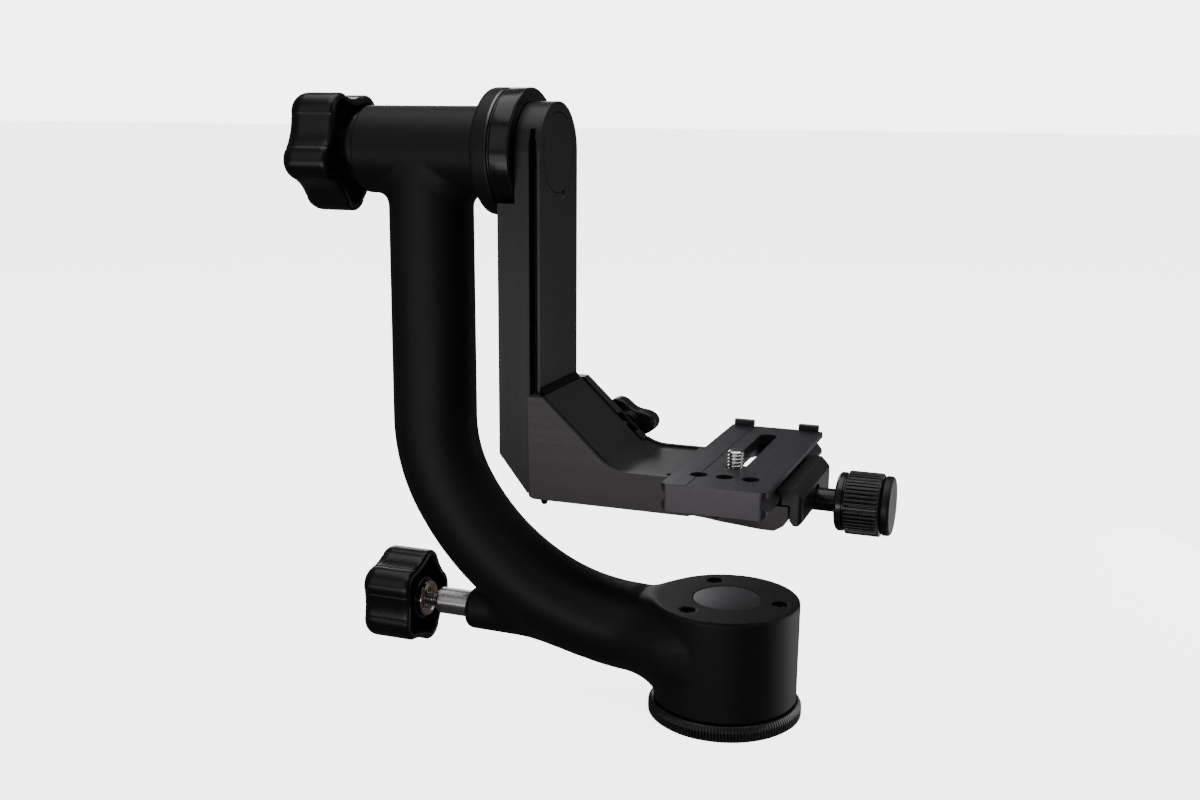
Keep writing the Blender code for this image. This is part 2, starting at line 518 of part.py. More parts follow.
# ================================================================== plate clamp
cj_xz = [(28.6, 88.0), (30.0, 86.3), (31.8, 86.3), (33.2, 87.8), (33.2, 96.2), (29.6, 99.8), (24.3, 99.8), (23.5, 99.1), (23.5, 98.8),
         (25.6, 96.35), (25.6, 93.8), (28.6, 93.8)]
clamp_jaw = combine(prism(cj_xz, "Y", -JAW_W, JAW_W), [
    (CUT, cyl("X", 20.0, 40.0, 3.3, (0.0, CK_Z), 14)),
    (CUT, cyl("X", 30.6, 40.0, 5.6, (0.0, CK_Z), 20)),
    (CUT, cyl("X", 20.0, 32.0, 1.9, (-16.0, CK_Z), 10)),
    (CUT, cyl("X", 20.0, 32.0, 1.9, (16.0, CK_Z), 10))])
finish(clamp_jaw, "clamp_jaw", "anod", origin=(30.0, 0, CK_Z))
finish(cyl("X", 18.0, 31.7, 1.6, (-16.0, CK_Z), 12), "clamp_guide_pin_a", "steel", origin=(25.0, -16.0, CK_Z))
finish(cyl("X", 18.0, 31.7, 1.6, (16.0, CK_Z), 12), "clamp_guide_pin_b", "steel", origin=(25.0, 16.0, CK_Z))
finish(lathe([(0, 17.6), (2.5, 17.6), (3.0, 18.1), (3.0, 52.0), (0, 52.0)], "X", (0, 0, CK_Z), 12),
       "clamp_screw", "steel", origin=(30.0, 0, CK_Z))
finish(lathe([(0, 52.4), (3.3, 52.4), (3.3, 30.9), (4.3, 30.9), (4.3, 41.2), (10.2, 41.2), (10.9, 42.0), (10.9, 43.6),
              (CK_R, 44.2), (CK_R, 57.4), (11.2, 58.0), (0, 58.0)], "X", (0, 0, CK_Z), 30),
       "clamp_knob", "gloss", origin=(49.0, 0, CK_Z))
finish(lathe([(0, 58.3), (11.0, 58.3), (11.0, 60.6), (10.4, 61.3), (0, 61.3)], "X", (0, 0, CK_Z), 30),
       "clamp_knob_cap", "gloss", origin=(60.0, 0, CK_Z))

# ================================================================== lens plate
xl, xr = PL_XC - PL_W, PL_XC + PL_W
pl_xz = [(xl + 0.4, PL_Z1), (xl, PL_Z1 - 0.4), (xl, 101.8), (xl + 2.5, 99.3), (xl, 96.5), (xl, 95.4), (xl + 1.6, PL_Z0),
         (xr - 1.6, PL_Z0), (xr, 95.4), (xr, 96.5), (xr - 2.5, 99.3), (xr, 101.8), (xr, PL_Z1 - 0.4), (xr - 0.4, PL_Z1)]
def rounded_slot(w, y0, y1, xc, steps=6):
    pts = []
    for k in range(steps + 1):
        a = math.pi * k / steps
        pts.append((xc + w * math.cos(a), y1 - w + w * math.sin(a)))
    for k in range(steps + 1):
        a = math.pi + math.pi * k / steps
        pts.append((xc + w * math.cos(a), y0 + w + w * math.sin(a)))
    return pts
corner = [(xl - 1.0, PL_Y0 - 1.0), (xl - 1.0, PL_Y0 + 2.4), (xl + 2.4, PL_Y0 - 1.0)]
plate_plan = [(xl - 0.1, PL_Y0 + 1.6), (xl + 1.5, PL_Y0), (xr - 1.5, PL_Y0), (xr + 0.1, PL_Y0 + 1.6),
              (xr + 0.1, PL_Y1 - 1.6), (xr - 1.5, PL_Y1), (xl + 1.5, PL_Y1), (xl - 0.1, PL_Y1 - 1.6)]
plate = combine(prism(pl_xz, "Y", PL_Y0 - 1.0, PL_Y1 + 1.0), [
    (AND, prism(plate_plan, "Z", 80.0, 120.0)),
    (CUT, prism(rounded_slot(SLOT_W, SLOT_Y0, SLOT_Y1, PL_XC), "Z", 80.0, 120.0)),
    (CUT, prism(rounded_slot(7.2, SLOT_Y0 - 3.7, SLOT_Y1 + 3.7, PL_XC), "Z", 80.0, 99.8)),
    (CUT, cyl("Z", 80.0, 120.0, HOLE_R, (PL_XC - HOLE_DX, HOLE_Y), 14)),
    (CUT, cyl("Z", 80.0, 120.0, HOLE_R, (PL_XC, HOLE_Y), 14)),
    (CUT, cyl("Z", 80.0, 120.0, HOLE_R, (PL_XC + HOLE_DX, HOLE_Y), 14)),
    (CUT, cyl("Z", 80.0, 99.0, 1.8, (PL_XC, PL_Y0 + 6.0), 12)),
    (CUT, cyl("Z", 80.0, 99.0, 1.8, (PL_XC, PL_Y1 - 5.5), 12))])
finish(plate, "lens_plate", "plate", origin=(PL_XC, 0, 98.8))
for tag, sx in (("a", -1.0), ("b", 1.0)):
    cx = PL_XC + sx * 13.3
    finish(prism([(46.6, PL_Z1 + 0.25), (48.6, PL_Z1 + 0.25), (48.6, 106.2), (48.2, 106.7), (47.0, 106.7), (46.6, 106.2)], "X", cx - 4.1, cx + 4.1),
           "plate_stop_" + tag, "plate", origin=(cx, 47.6, 105.0))
for tag, yy in (("front", PL_Y0 + 6.0), ("rear", PL_Y1 - 5.5)):
    finish(lathe([(0, 92.0), (1.8, 92.0), (2.1, 92.3), (2.1, 93.5), (1.5, 93.5), (1.5, 98.2), (0, 98.2)], "Z", (PL_XC, yy, 0), 12),
           "safety_screw_" + tag, "dark", origin=(PL_XC, yy, 95.0))
finish(ring("Z", 98.6, 99.4, 3.4, 6.6, (PL_XC, SCREW_Y), 18), "screw_retainer", "dark", origin=(PL_XC, SCREW_Y, 99.0))
finish(lathe([(0, 95.4), (1.6, 95.4), (1.6, 94.2), (5.9, 94.2), (6.3, 94.6), (6.3, 98.3), (3.1, 98.3), (3.1, 109.3), (2.4, 110.0), (0, 110.0)],
             "Z", (PL_XC, SCREW_Y, 0), 16), "camera_screw", "steel", origin=(PL_XC, SCREW_Y, 98.0))

bpy.context.view_layer.update()
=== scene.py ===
# Looks for the gimbal tripod head. Lengths in the helpers are millimetres in the row frame.
import bpy
import bmesh
import math
import numpy as np
from mathutils import Vector, Matrix


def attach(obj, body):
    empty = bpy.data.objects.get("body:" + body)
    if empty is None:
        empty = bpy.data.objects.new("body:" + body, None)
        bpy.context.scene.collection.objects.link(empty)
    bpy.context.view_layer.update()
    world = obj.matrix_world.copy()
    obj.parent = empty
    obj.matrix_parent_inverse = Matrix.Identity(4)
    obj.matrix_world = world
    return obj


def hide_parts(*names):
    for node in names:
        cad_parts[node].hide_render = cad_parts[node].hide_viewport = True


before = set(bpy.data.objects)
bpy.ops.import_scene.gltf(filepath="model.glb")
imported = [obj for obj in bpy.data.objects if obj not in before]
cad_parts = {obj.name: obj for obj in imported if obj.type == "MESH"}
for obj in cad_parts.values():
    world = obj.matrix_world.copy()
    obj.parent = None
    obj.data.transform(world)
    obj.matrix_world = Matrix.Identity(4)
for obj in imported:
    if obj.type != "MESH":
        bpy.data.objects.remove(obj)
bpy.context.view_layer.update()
MM = 0.001
COL = bpy.context.scene.collection
TZ = 214.7
TA = (0.0, TZ)
LZ = 29.0

# =====================================================================
# materials
# =====================================================================
class Mat:
    """Small wrapper round a node tree with object coordinates ready."""
    def __init__(self, name):
        self.m = bpy.data.materials.new(name)
        self.m.use_nodes = True
        self.t = self.m.node_tree
        self.n = self.t.nodes
        self.l = self.t.links
        self.b = self.n["Principled BSDF"]
        self.tc = self.n.new("ShaderNodeTexCoord")

    def node(self, kind, **kw):
        nd = self.n.new(kind)
        for k, v in kw.items():
            setattr(nd, k, v)
        return nd

    def mapped(self, scale=(1, 1, 1), rot=(0, 0, 0)):
        mp = self.node("ShaderNodeMapping")
        mp.inputs["Scale"].default_value = scale
        mp.inputs["Rotation"].default_value = rot
        self.l.new(self.tc.outputs["Object"], mp.inputs["Vector"])
        return mp.outputs["Vector"]

    def noise(self, vec, scale, detail=3.0, rough=0.55):
        nd = self.node("ShaderNodeTexNoise")
        nd.inputs["Scale"].default_value = scale
        nd.inputs["Detail"].default_value = detail
        nd.inputs["Roughness"].default_value = rough
        self.l.new(vec, nd.inputs["Vector"])
        return nd.outputs["Fac"]

    def voronoi(self, vec, scale, feature="F1"):
        nd = self.node("ShaderNodeTexVoronoi", feature=feature)
        nd.inputs["Scale"].default_value = scale
        self.l.new(vec, nd.inputs["Vector"])
        return nd.outputs["Distance"]

    def ramp(self, fac, stops):
        nd = self.node("ShaderNodeValToRGB")
        cr = nd.color_ramp
        while len(cr.elements) > 1:
            cr.elements.remove(cr.elements[-1])
        for i, (p, c) in enumerate(stops):
            e = cr.elements[0] if i == 0 else cr.elements.new(p)
            e.position = p
            e.color = (c[0], c[1], c[2], 1.0) if isinstance(c, (tuple, list)) else (c, c, c, 1.0)
        self.l.new(fac, nd.inputs["Fac"])
        return nd.outputs["Color"]

    def rng(self, fac, a, b, lo, hi):
        nd = self.node("ShaderNodeMapRange")
        nd.inputs["From Min"].default_value = a
        nd.inputs["From Max"].default_value = b
        nd.inputs["To Min"].default_value = lo
        nd.inputs["To Max"].default_value = hi
        self.l.new(fac, nd.inputs["Value"])
        return nd.outputs["Result"]

    def mix(self, fac, a, b, mode="MIX"):
        nd = self.node("ShaderNodeMix", data_type="RGBA", blend_type=mode)
        if isinstance(fac, float):
            nd.inputs["Factor"].default_value = fac
        else:
            self.l.new(fac, nd.inputs["Factor"])
        for sock, v in ((nd.inputs[6], a), (nd.inputs[7], b)):
            if isinstance(v, (tuple, list)):
                sock.default_value = (v[0], v[1], v[2], 1.0)
            else:
                self.l.new(v, sock)
        return nd.outputs[2]

    def math(self, op, a, b=None, clamp=False):
        nd = self.node("ShaderNodeMath", operation=op, use_clamp=clamp)
        for i, v in enumerate((a, b)):
            if v is None:
                continue
            if isinstance(v, (int, float)):
                nd.inputs[i].default_value = float(v)
            else:
                self.l.new(v, nd.inputs[i])
        return nd.outputs[0]

    def bump(self, height, dist, strength=1.0, prev=None):
        nd = self.node("ShaderNodeBump")
        nd.inputs["Strength"].default_value = strength
        nd.inputs["Distance"].default_value = dist
        self.l.new(height, nd.inputs["Height"])
        if prev is not None:
            self.l.new(prev, nd.inputs["Normal"])
        return nd.outputs["Normal"]

    def edge(self, lo=0.0, hi=1.0):
        """0 on open surface, 1 on worn convex edges, broken up by noise."""
        g = self.node("ShaderNodeAttribute", attribute_name="wear", attribute_type="GEOMETRY")
        p = self.rng(g.outputs["Fac"], lo, hi, 0.0, 1.0)
        n = self.noise(self.mapped(), 700.0, 2.0)
        n = self.rng(n, 0.35, 0.65, 0.45, 1.0)
        return self.math("MULTIPLY", p, n, True)

    def wire(self, color=None, rough=None, normal=None, metallic=None, **fixed):
        for sock, v in (("Base Color", color), ("Roughness", rough), ("Normal", normal), ("Metallic", metallic)):
            if v is None:
                continue
            if isinstance(v, (int, float)):
                self.b.inputs[sock].default_value = v
            elif isinstance(v, (tuple, list)):
                self.b.inputs[sock].default_value = (v[0], v[1], v[2], 1.0)
            else:
                self.l.new(v, self.b.inputs[sock])
        for k, v in fixed.items():
            self.b.inputs[k.replace("_", " ")].default_value = v
        return self.m


def powder_coat():
    k = Mat("powder_coat")
    v = k.mapped()
    grain = k.noise(v, 1500.0, 3.0, 0.55)
    cell = k.voronoi(v, 1100.0)
    broad = k.noise(v, 16.0, 3.0, 0.5)
    col = k.mix(k.rng(broad, 0.3, 0.7, 0.0, 1.0), (0.0088, 0.0085, 0.0094), (0.0116, 0.0112, 0.0117))
    col = k.mix(k.rng(grain, 0.35, 0.75, 0.0, 0.22), col, (0.019, 0.0185, 0.0185))
    col = k.mix(k.math("MULTIPLY", k.edge(), 0.30), col, (0.040, 0.039, 0.038))
    rough = k.math("ADD", k.rng(broad, 0.3, 0.7, 0.46, 0.51), k.rng(grain, 0.3, 0.7, -0.03, 0.04))
    h = k.math("ADD", k.math("MULTIPLY", grain, 0.7), k.math("MULTIPLY", cell, 0.5))
    nrm = k.bump(h, 0.00004, 0.30)
    return k.wire(col, rough, nrm, 0.0, Specular_IOR_Level=0.19)


def anodised(name, lo, hi, rough=(0.36, 0.42), axis="Z", metal=0.6, wear=0.35):
    """Satin black anodised aluminium with faint drawn lines along one axis."""
    k = Mat(name)
    st = {"X": (9.0, 700.0, 700.0), "Y": (700.0, 9.0, 700.0), "Z": (700.0, 700.0, 9.0)}[axis]
    lines = k.noise(k.mapped(st), 1.0, 2.0, 0.5)
    fine = k.noise(k.mapped(), 2600.0, 2.0, 0.5)
    broad = k.noise(k.mapped(), 9.0, 2.0, 0.45)
    col = k.mix(k.rng(broad, 0.3, 0.7, 0.0, 1.0), lo, hi)
    col = k.mix(k.rng(lines, 0.35, 0.7, 0.0, 0.12), col, tuple(1.4 * c for c in hi))
    col = k.mix(k.math("MULTIPLY", k.edge(), wear), col, (0.15, 0.147, 0.147))
    r = k.math("ADD", k.rng(lines, 0.3, 0.7, rough[0], rough[1]), k.rng(fine, 0.3, 0.7, -0.012, 0.012))
    n1 = k.bump(fine, 0.000006, 0.20)
    n2 = k.bump(lines, 0.000008, 0.22, n1)
    return k.wire(col, r, n2, metal, Specular_IOR_Level=0.28)


def gloss_anodised(axis="X", centre=(0.0, 0.0)):
    """Bright black anodised turned part: very fine lathe rings round its axis."""
    k = Mat("gloss_anodised_" + axis)
    v = k.mapped()
    broad = k.noise(v, 30.0, 3.0)
    st = {"X": (1800.0, 4.0, 4.0), "Z": (4.0, 4.0, 1800.0)}[axis]
    rings = k.noise(k.mapped(st), 1.0, 3.0, 0.6)
    col = k.mix(k.rng(broad, 0.3, 0.7, 0.0, 1.0), (0.010, 0.010, 0.012), (0.017, 0.0165, 0.018))
    col = k.mix(k.math("MULTIPLY", k.edge(), 0.35), col, (0.14, 0.137, 0.137))
    r = k.math("ADD", k.rng(rings, 0.3, 0.7, 0.20, 0.28), k.rng(broad, 0.3, 0.7, -0.02, 0.02))
    n = k.bump(rings, 0.000006, 0.3)
    return k.wire(col, r, n, 0.5, Specular_IOR_Level=0.35, Coat_Weight=0.15, Coat_Roughness=0.12)


def moulded():
    """Black glass-filled plastic with a faint spark-eroded grain and rubbed crests."""
    k = Mat("moulded_plastic")
    v = k.mapped()
    grain = k.noise(v, 1800.0, 3.0, 0.6)
    broad = k.noise(v, 45.0, 3.0, 0.5)
    col = k.mix(k.rng(broad, 0.3, 0.7, 0.0, 1.0), (0.0070, 0.0070, 0.0078), (0.0100, 0.0097, 0.0100))
    col = k.mix(k.math("MULTIPLY", k.edge(), 0.3), col, (0.034, 0.033, 0.033))
    r = k.math("ADD", k.rng(broad, 0.3, 0.7, 0.24, 0.29), k.rng(grain, 0.3, 0.7, -0.02, 0.03))
    n = k.bump(grain, 0.00002, 0.22)
    return k.wire(col, r, n, 0.0, Specular_IOR_Level=0.28)


def turned(name, lo, hi, axis="X", rough=(0.16, 0.30), metal=1.0, ring_scale=3000.0):
    k = Mat(name)
    st = {"X": (ring_scale, 6.0, 6.0), "Y": (6.0, ring_scale, 6.0), "Z": (6.0, 6.0, ring_scale)}[axis]
    rings = k.noise(k.mapped(st), 1.0, 3.0, 0.6)
    broad = k.noise(k.mapped(), 60.0, 3.0)
    col = k.mix(k.rng(broad, 0.3, 0.7, 0.0, 1.0), lo, hi)
    r = k.math("ADD", k.rng(rings, 0.3, 0.7, rough[0], rough[1]), k.rng(broad, 0.3, 0.7, -0.03, 0.05))
    n = k.bump(rings, 0.00001, 0.35)
    return k.wire(col, r, n, metal)


def inlay(axis="Z"):
    """Inlay disc: grey anodised, fine cross-brushed."""
    k = Mat("inlay_" + axis)
    st = {"Z": (30.0, 1500.0, 30.0), "X": (30.0, 30.0, 1500.0)}[axis]
    lines = k.noise(k.mapped(st), 1.0, 3.0, 0.6)
    fine = k.noise(k.mapped(), 2600.0, 2.0)
    broad = k.noise(k.mapped(), 70.0, 3.0)
    base = ((0.120, 0.112, 0.122), (0.145, 0.136, 0.147)) if axis == "Z" else ((0.016, 0.0155, 0.0165), (0.021, 0.020, 0.021))
    col = k.mix(k.rng(broad, 0.3, 0.7, 0.0, 1.0), base[0], base[1])
    col = k.mix(k.rng(lines, 0.4, 0.75, 0.0, 0.25), col, tuple(1.5 * c for c in base[1]))
    r = k.math("ADD", k.rng(lines, 0.3, 0.7, 0.40, 0.50), k.rng(fine, 0.3, 0.7, -0.02, 0.02))
    n = k.bump(lines, 0.00001, 0.3)
    return k.wire(col, r, n, 0.5, Specular_IOR_Level=0.35)


def black_oxide():
    k = Mat("black_oxide")
    v = k.mapped()
    broad = k.noise(v, 300.0, 3.0)
    fine = k.noise(v, 2600.0, 2.0)
    col = k.mix(k.rng(broad, 0.3, 0.7, 0.0, 1.0), (0.009, 0.009, 0.011), (0.020, 0.0195, 0.021))
    col = k.mix(k.math("MULTIPLY", k.edge(), 0.4), col, (0.10, 0.098, 0.095))
    r = k.math("ADD", k.rng(broad, 0.3, 0.7, 0.28, 0.40), k.rng(fine, 0.3, 0.7, -0.02, 0.02))
    return k.wire(col, r, k.bump(fine, 0.000008, 0.3), 0.8)


def shade_fill_material():
    """Near-black matte fill for the bracket's groove and notch: painted shade, a dark strip standing in for the shadow
    line and shadow band there.
    """
    k = Mat("painted_shade_fill")
    grain = k.noise(k.mapped(), 1600.0, 3.0, 0.6)
    broad = k.noise(k.mapped(), 120.0, 2.0, 0.5)
    col = k.mix(k.rng(broad, 0.3, 0.7, 0.0, 1.0), (0.0016, 0.0016, 0.0018), (0.0032, 0.0031, 0.0032))
    r = k.math("ADD", k.rng(broad, 0.3, 0.7, 0.72, 0.82), k.rng(grain, 0.3, 0.7, -0.03, 0.03))
    return k.wire(col, r, k.bump(grain, 0.00002, 0.3), 0.0, Specular_IOR_Level=0.08)


# Material of the near-black strips in the bracket: painted shade.
M_PAINTED_SHADE = shade_fill_material()
M_COAT = powder_coat()
M_RAIL = anodised("anodised_rail", (0.026, 0.0245, 0.0250), (0.031, 0.0295, 0.0300), (0.36, 0.42), "Z")
M_BRKT = anodised("anodised_bracket", (0.043, 0.0400, 0.0402), (0.050, 0.0472, 0.0475), (0.36, 0.43), "X")
M_JAW = anodised("anodised_jaw", (0.027, 0.0255, 0.0265), (0.032, 0.0305, 0.0315), (0.34, 0.42), "Y")
M_PLATE = anodised("anodised_plate", (0.062, 0.0565, 0.0635), (0.071, 0.0650, 0.0735), (0.33, 0.40), "Y")
M_GLX = gloss_anodised("X")
M_GLZ = gloss_anodised("Z")
M_PLAST = moulded()
M_STEEL = turned("steel_turned", (0.55, 0.54, 0.54), (0.66, 0.65, 0.64), "X")
M_STEELZ = turned("steel_turned_z", (0.55, 0.54, 0.54), (0.68, 0.67, 0.66), "Z", (0.12, 0.24))
M_SLEEVE = turned("steel_sleeve", (0.36, 0.350, 0.352), (0.43, 0.42, 0.42), "X", (0.24, 0.34))
M_BRASS = turned("bronze_turned", (0.56, 0.43, 0.35), (0.70, 0.57, 0.49), "X", (0.18, 0.30))
M_CAPZ = inlay("Z")
M_CAPX = inlay("X")
M_OXIDE = black_oxide()
# Lighter metal for the flange chamfer ring: painted highlight along the chamfer edge.
M_CHAMFER_HIGHLIGHT = turned("chamfer_painted_highlight", (0.15, 0.147, 0.147), (0.20, 0.196, 0.195), "X", (0.30, 0.40))
M_INNER = turned("machined_inner", (0.26, 0.26, 0.27), (0.34, 0.34, 0.35), "Z", (0.30, 0.45))

# =====================================================================
# mesh tools (millimetres in, metres out)
# =====================================================================
def put(name, verts, faces, mat, body, replaces=(), sharp=35.0, normals=None):
    me = bpy.data.meshes.new(name)
    me.from_pydata([tuple(v) for v in (np.asarray(verts, float) * MM)], [], faces)
    me.validate(clean_customdata=False)
    return wrap(name, me, mat, body, replaces, sharp, normals)


def mark_edges(me):
    """Store how sharply each corner of the mesh bends outwards, in the attribute the materials read for rubbed edges."""
    nl, nf = len(me.loops), len(me.polygons)
    edge = np.zeros(nl, np.int32)
    vert = np.zeros(nl, np.int32)
    me.loops.foreach_get("edge_index", edge)
    me.loops.foreach_get("vertex_index", vert)
    tot = np.zeros(nf, np.int32)
    me.polygons.foreach_get("loop_total", tot)
    start = np.zeros(nf, np.int32)
    me.polygons.foreach_get("loop_start", start)
    face = np.zeros(nl, np.int64)
    idx = np.concatenate([np.arange(a, a + b) for a, b in zip(start, tot)])
    face[idx] = np.repeat(np.arange(nf), tot)
    cen = np.zeros(nf * 3)
    nor = np.zeros(nf * 3)
    area = np.zeros(nf)
    me.polygons.foreach_get("center", cen)
    me.polygons.foreach_get("normal", nor)
    me.polygons.foreach_get("area", area)
    cen, nor = cen.reshape(-1, 3) / MM, nor.reshape(-1, 3)
    co = np.zeros(len(me.vertices) * 3)
    me.vertices.foreach_get("co", co)
    co = co.reshape(-1, 3) / MM
    ev = np.zeros(len(me.edges) * 2, np.int32)
    me.edges.foreach_get("vertices", ev)
    ev = ev.reshape(-1, 2)
    o = np.argsort(edge, kind="stable")
    e, f = edge[o], face[o]
    pair = np.nonzero(e[1:] == e[:-1])[0]
    ee, fa, fb = e[pair], f[pair], f[pair + 1]
    d = cen[fb] - cen[fa]
    t = co[ev[ee, 1]] - co[ev[ee, 0]]
    t /= np.maximum(np.linalg.norm(t, axis=1, keepdims=True), 1e-9)
    d -= t * np.einsum("ij,ij->i", d, t)[:, None]
    dist = np.maximum(np.linalg.norm(d, axis=1), 0.02)
    ang = np.arccos(np.clip(np.einsum("ij,ij->i", nor[fa], nor[fb]), -1, 1))
    bend = np.where(np.einsum("ij,ij->i", nor[fa], d) < 0, ang / dist, 0.0)
    k = np.zeros(nf)
    np.maximum.at(k, fa, bend)
    np.maximum.at(k, fb, bend)
    k = np.clip((k - 0.35) / 1.3, 0.0, 1.0)
    length = np.linalg.norm(co[ev[:, 0]] - co[ev[:, 1]], axis=1)
    rim = np.zeros(nf)
    np.add.at(rim, face, length[edge])
    k[2e6 * area / np.maximum(rim, 1e-6) > 0.9] = 0.0
    vs = np.zeros(len(co))
    vn = np.zeros(len(co))
    np.add.at(vs, vert, k[face])
    np.add.at(vn, vert, 1.0)
    mean = vs / np.maximum(vn, 1.0)
    big = area[face] > 0.6e-6
    val = np.where(big, k[face], mean[vert])
    at = me.attributes.new("wear", "FLOAT", "CORNER")
    at.data.foreach_set("value", val.astype(np.float32))


def wrap(name, me, mat, body, replaces=(), sharp=35.0, normals=None, fixnormals=True):
    if fixnormals:
        bm = bmesh.new()
        bm.from_mesh(me)
        bmesh.ops.recalc_face_normals(bm, faces=bm.faces)
        bm.to_mesh(me)
        bm.free()
    me.shade_smooth() if hasattr(me, "shade_smooth") else None
    for p in me.polygons:
        p.use_smooth = True
    ob = bpy.data.objects.new(name, me)
    COL.objects.link(ob)
    me.materials.clear()
    me.materials.append(mat)
    if sharp is not None:
        bm = bmesh.new()
        bm.from_mesh(me)
        lim = math.radians(sharp)
        for e in bm.edges:
            e.smooth = len(e.link_faces) != 2 or e.calc_face_angle(0.0) < lim
        bm.to_mesh(me)
        bm.free()
    mark_edges(me)
    if normals is not None:
        me.normals_split_custom_set(normals)
    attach(ob, body)
    if replaces:
        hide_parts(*replaces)
    return ob


def fillet(points, steps=4):
    """Round the corners of an open (r, h) polyline. A point is (r, h) or (r, h, radius)."""
    out = []
    n = len(points)
    for i, p in enumerate(points):
        rad = p[2] if len(p) > 2 else 0.0
        if rad <= 0 or i in (0, n - 1):
            out.append((p[0], p[1]))
            continue
        a = np.array(points[i - 1][:2], float)
        b = np.array(p[:2], float)
        c = np.array(points[i + 1][:2], float)
        u, v = a - b, c - b
        lu, lv = np.linalg.norm(u), np.linalg.norm(v)
        u, v = u / lu, v / lv
        ang = math.acos(max(-1.0, min(1.0, float(u @ v))))
        t = min(rad / math.tan(ang / 2), 0.49 * lu, 0.49 * lv)
        r = t * math.tan(ang / 2)
        bis = (u + v) / np.linalg.norm(u + v)
        cen = b + bis * (r / math.sin(ang / 2))
        s, e = b + u * t - cen, b + v * t - cen
        a0 = math.atan2(s[1], s[0])
        a1 = math.atan2(e[1], e[0])
        d = (a1 - a0 + math.pi) % (2 * math.pi) - math.pi
        for k in range(steps + 1):
            th = a0 + d * k / steps
            out.append((cen[0] + r * math.cos(th), cen[1] + r * math.sin(th)))
    return out


AX = {"X": (np.array([0, 1.0, 0]), np.array([0, 0, 1.0]), np.array([1.0, 0, 0])),
      "Y": (np.array([0, 0, 1.0]), np.array([1.0, 0, 0]), np.array([0, 1.0, 0])),
      "Z": (np.array([1.0, 0, 0]), np.array([0, 1.0, 0]), np.array([0, 0, 1.0]))}


def skin(loops, wrap_around=False):
    """Vertices and faces of a list of rings; a ring of one point closes a fan."""
    verts, idx = [], []
    for lp in loops:
        idx.append(list(range(len(verts), len(verts) + len(lp))))
        verts.extend(lp)
    faces = []
    pairs = list(zip(idx[:-1], idx[1:]))
    if wrap_around:
        pairs.append((idx[-1], idx[0]))
    for a, b in pairs:
        if len(a) == 1 and len(b) > 1:
            n = len(b)
            faces += [(a[0], b[i], b[(i + 1) % n]) for i in range(n)]
        elif len(b) == 1 and len(a) > 1:
            n = len(a)
            faces += [(a[(i + 1) % n], a[i], b[0]) for i in range(n)]
        elif len(a) > 1:
            n = len(a)
            faces += [(a[i], b[i], b[(i + 1) % n], a[(i + 1) % n]) for i in range(n)]
    return verts, faces


def lathe(name, profile, axis, at, mat, body, replaces=(), n=96, closed=False, shape=None, sharp=35.0):
    """Turned piece. shape(theta, r, h) may change a point's radius, for knurls and lobes."""
    u, v, w = AX[axis]
    c = {"X": np.array([0, at[0], at[1]]), "Y": np.array([at[0], 0, at[1]]), "Z": np.array([at[0], at[1], 0])}[axis]
    th = 2 * np.pi * np.arange(n) / n
    loops = []
    for r, h in profile:
        if r < 1e-9:
            loops.append([c + w * h])
        else:
            rr = np.full(n, r) if shape is None else shape(th, r, h)
            loops.append(list(c + w * h + rr[:, None] * (np.cos(th)[:, None] * u + np.sin(th)[:, None] * v)))
    verts, faces = skin(loops, closed)
    return put(name, verts, faces, mat, body, replaces, sharp)


def prism_bm(outline, axis, a, b):
    bm = bmesh.new()
    def at(p, h):
        return {"X": (h, p[0], p[1]), "Y": (p[0], h, p[1]), "Z": (p[0], p[1], h)}[axis]
    lo = [bm.verts.new(Vector(at(p, a)) * MM) for p in outline]
    hi = [bm.verts.new(Vector(at(p, b)) * MM) for p in outline]
    n = len(outline)
    bm.faces.new(lo)
    bm.faces.new(hi)
    for i in range(n):
        j = (i + 1) % n
        bm.faces.new((lo[i], lo[j], hi[j], hi[i]))
    bmesh.ops.recalc_face_normals(bm, faces=bm.faces)
    return bm


def cyl_bm(axis, a, b, r, at, n=48, r2=None):
    c = [(math.cos(2 * math.pi * i / n), math.sin(2 * math.pi * i / n)) for i in range(n)]
    if axis == "X":
        pts = [(at[0] + r * x, at[1] + r * y) for x, y in c]
    elif axis == "Y":
        pts = [(at[0] + r * x, at[1] + r * y) for x, y in c]
    else:
        pts = [(at[0] + r * x, at[1] + r * y) for x, y in c]
    bm = prism_bm(pts, axis, a, b)
    if r2 is not None:
        k = r2 / r
        idx = {"X": 0, "Y": 1, "Z": 2}[axis]
        for v in bm.verts:
            if abs(v.co[idx] - b * MM) < 1e-7:
                for j, q in zip([i for i in range(3) if i != idx], at):
                    v.co[j] = q * MM + (v.co[j] - q * MM) * k
    return bm


def as_object(bm, name="tmp"):
    me = bpy.data.meshes.new(name)
    bmesh.ops.recalc_face_normals(bm, faces=bm.faces)
    bm.to_mesh(me)
    bm.free()
    ob = bpy.data.objects.new(name, me)
    COL.objects.link(ob)
    return ob


def evaluated(ob):
    bpy.context.view_layer.update()
    dg = bpy.context.evaluated_depsgraph_get()
    return bpy.data.meshes.new_from_object(ob.evaluated_get(dg))


def boolean(base, ops):
    cur = as_object(base)
    for kind, tool in ops:
        t = as_object(tool)
        m = cur.modifiers.new("b", "BOOLEAN")
        m.operation, m.solver, m.object = kind, "EXACT", t
        me = evaluated(cur)
        bpy.data.objects.remove(cur, do_unlink=True)
        bpy.data.objects.remove(t, do_unlink=True)
        bm = bmesh.new()
        bm.from_mesh(me)
        bpy.data.meshes.remove(me)
        bmesh.ops.remove_doubles(bm, verts=bm.verts, dist=0.0008 * MM)
        bmesh.ops.dissolve_degenerate(bm, edges=bm.edges, dist=0.0008 * MM)
        cur = as_object(bm)
    bm = bmesh.new()
    bm.from_mesh(cur.data)
    bmesh.ops.dissolve_limit(bm, angle_limit=math.radians(0.5), verts=bm.verts, edges=bm.edges)
    bpy.data.objects.remove(cur, do_unlink=True)
    return bm


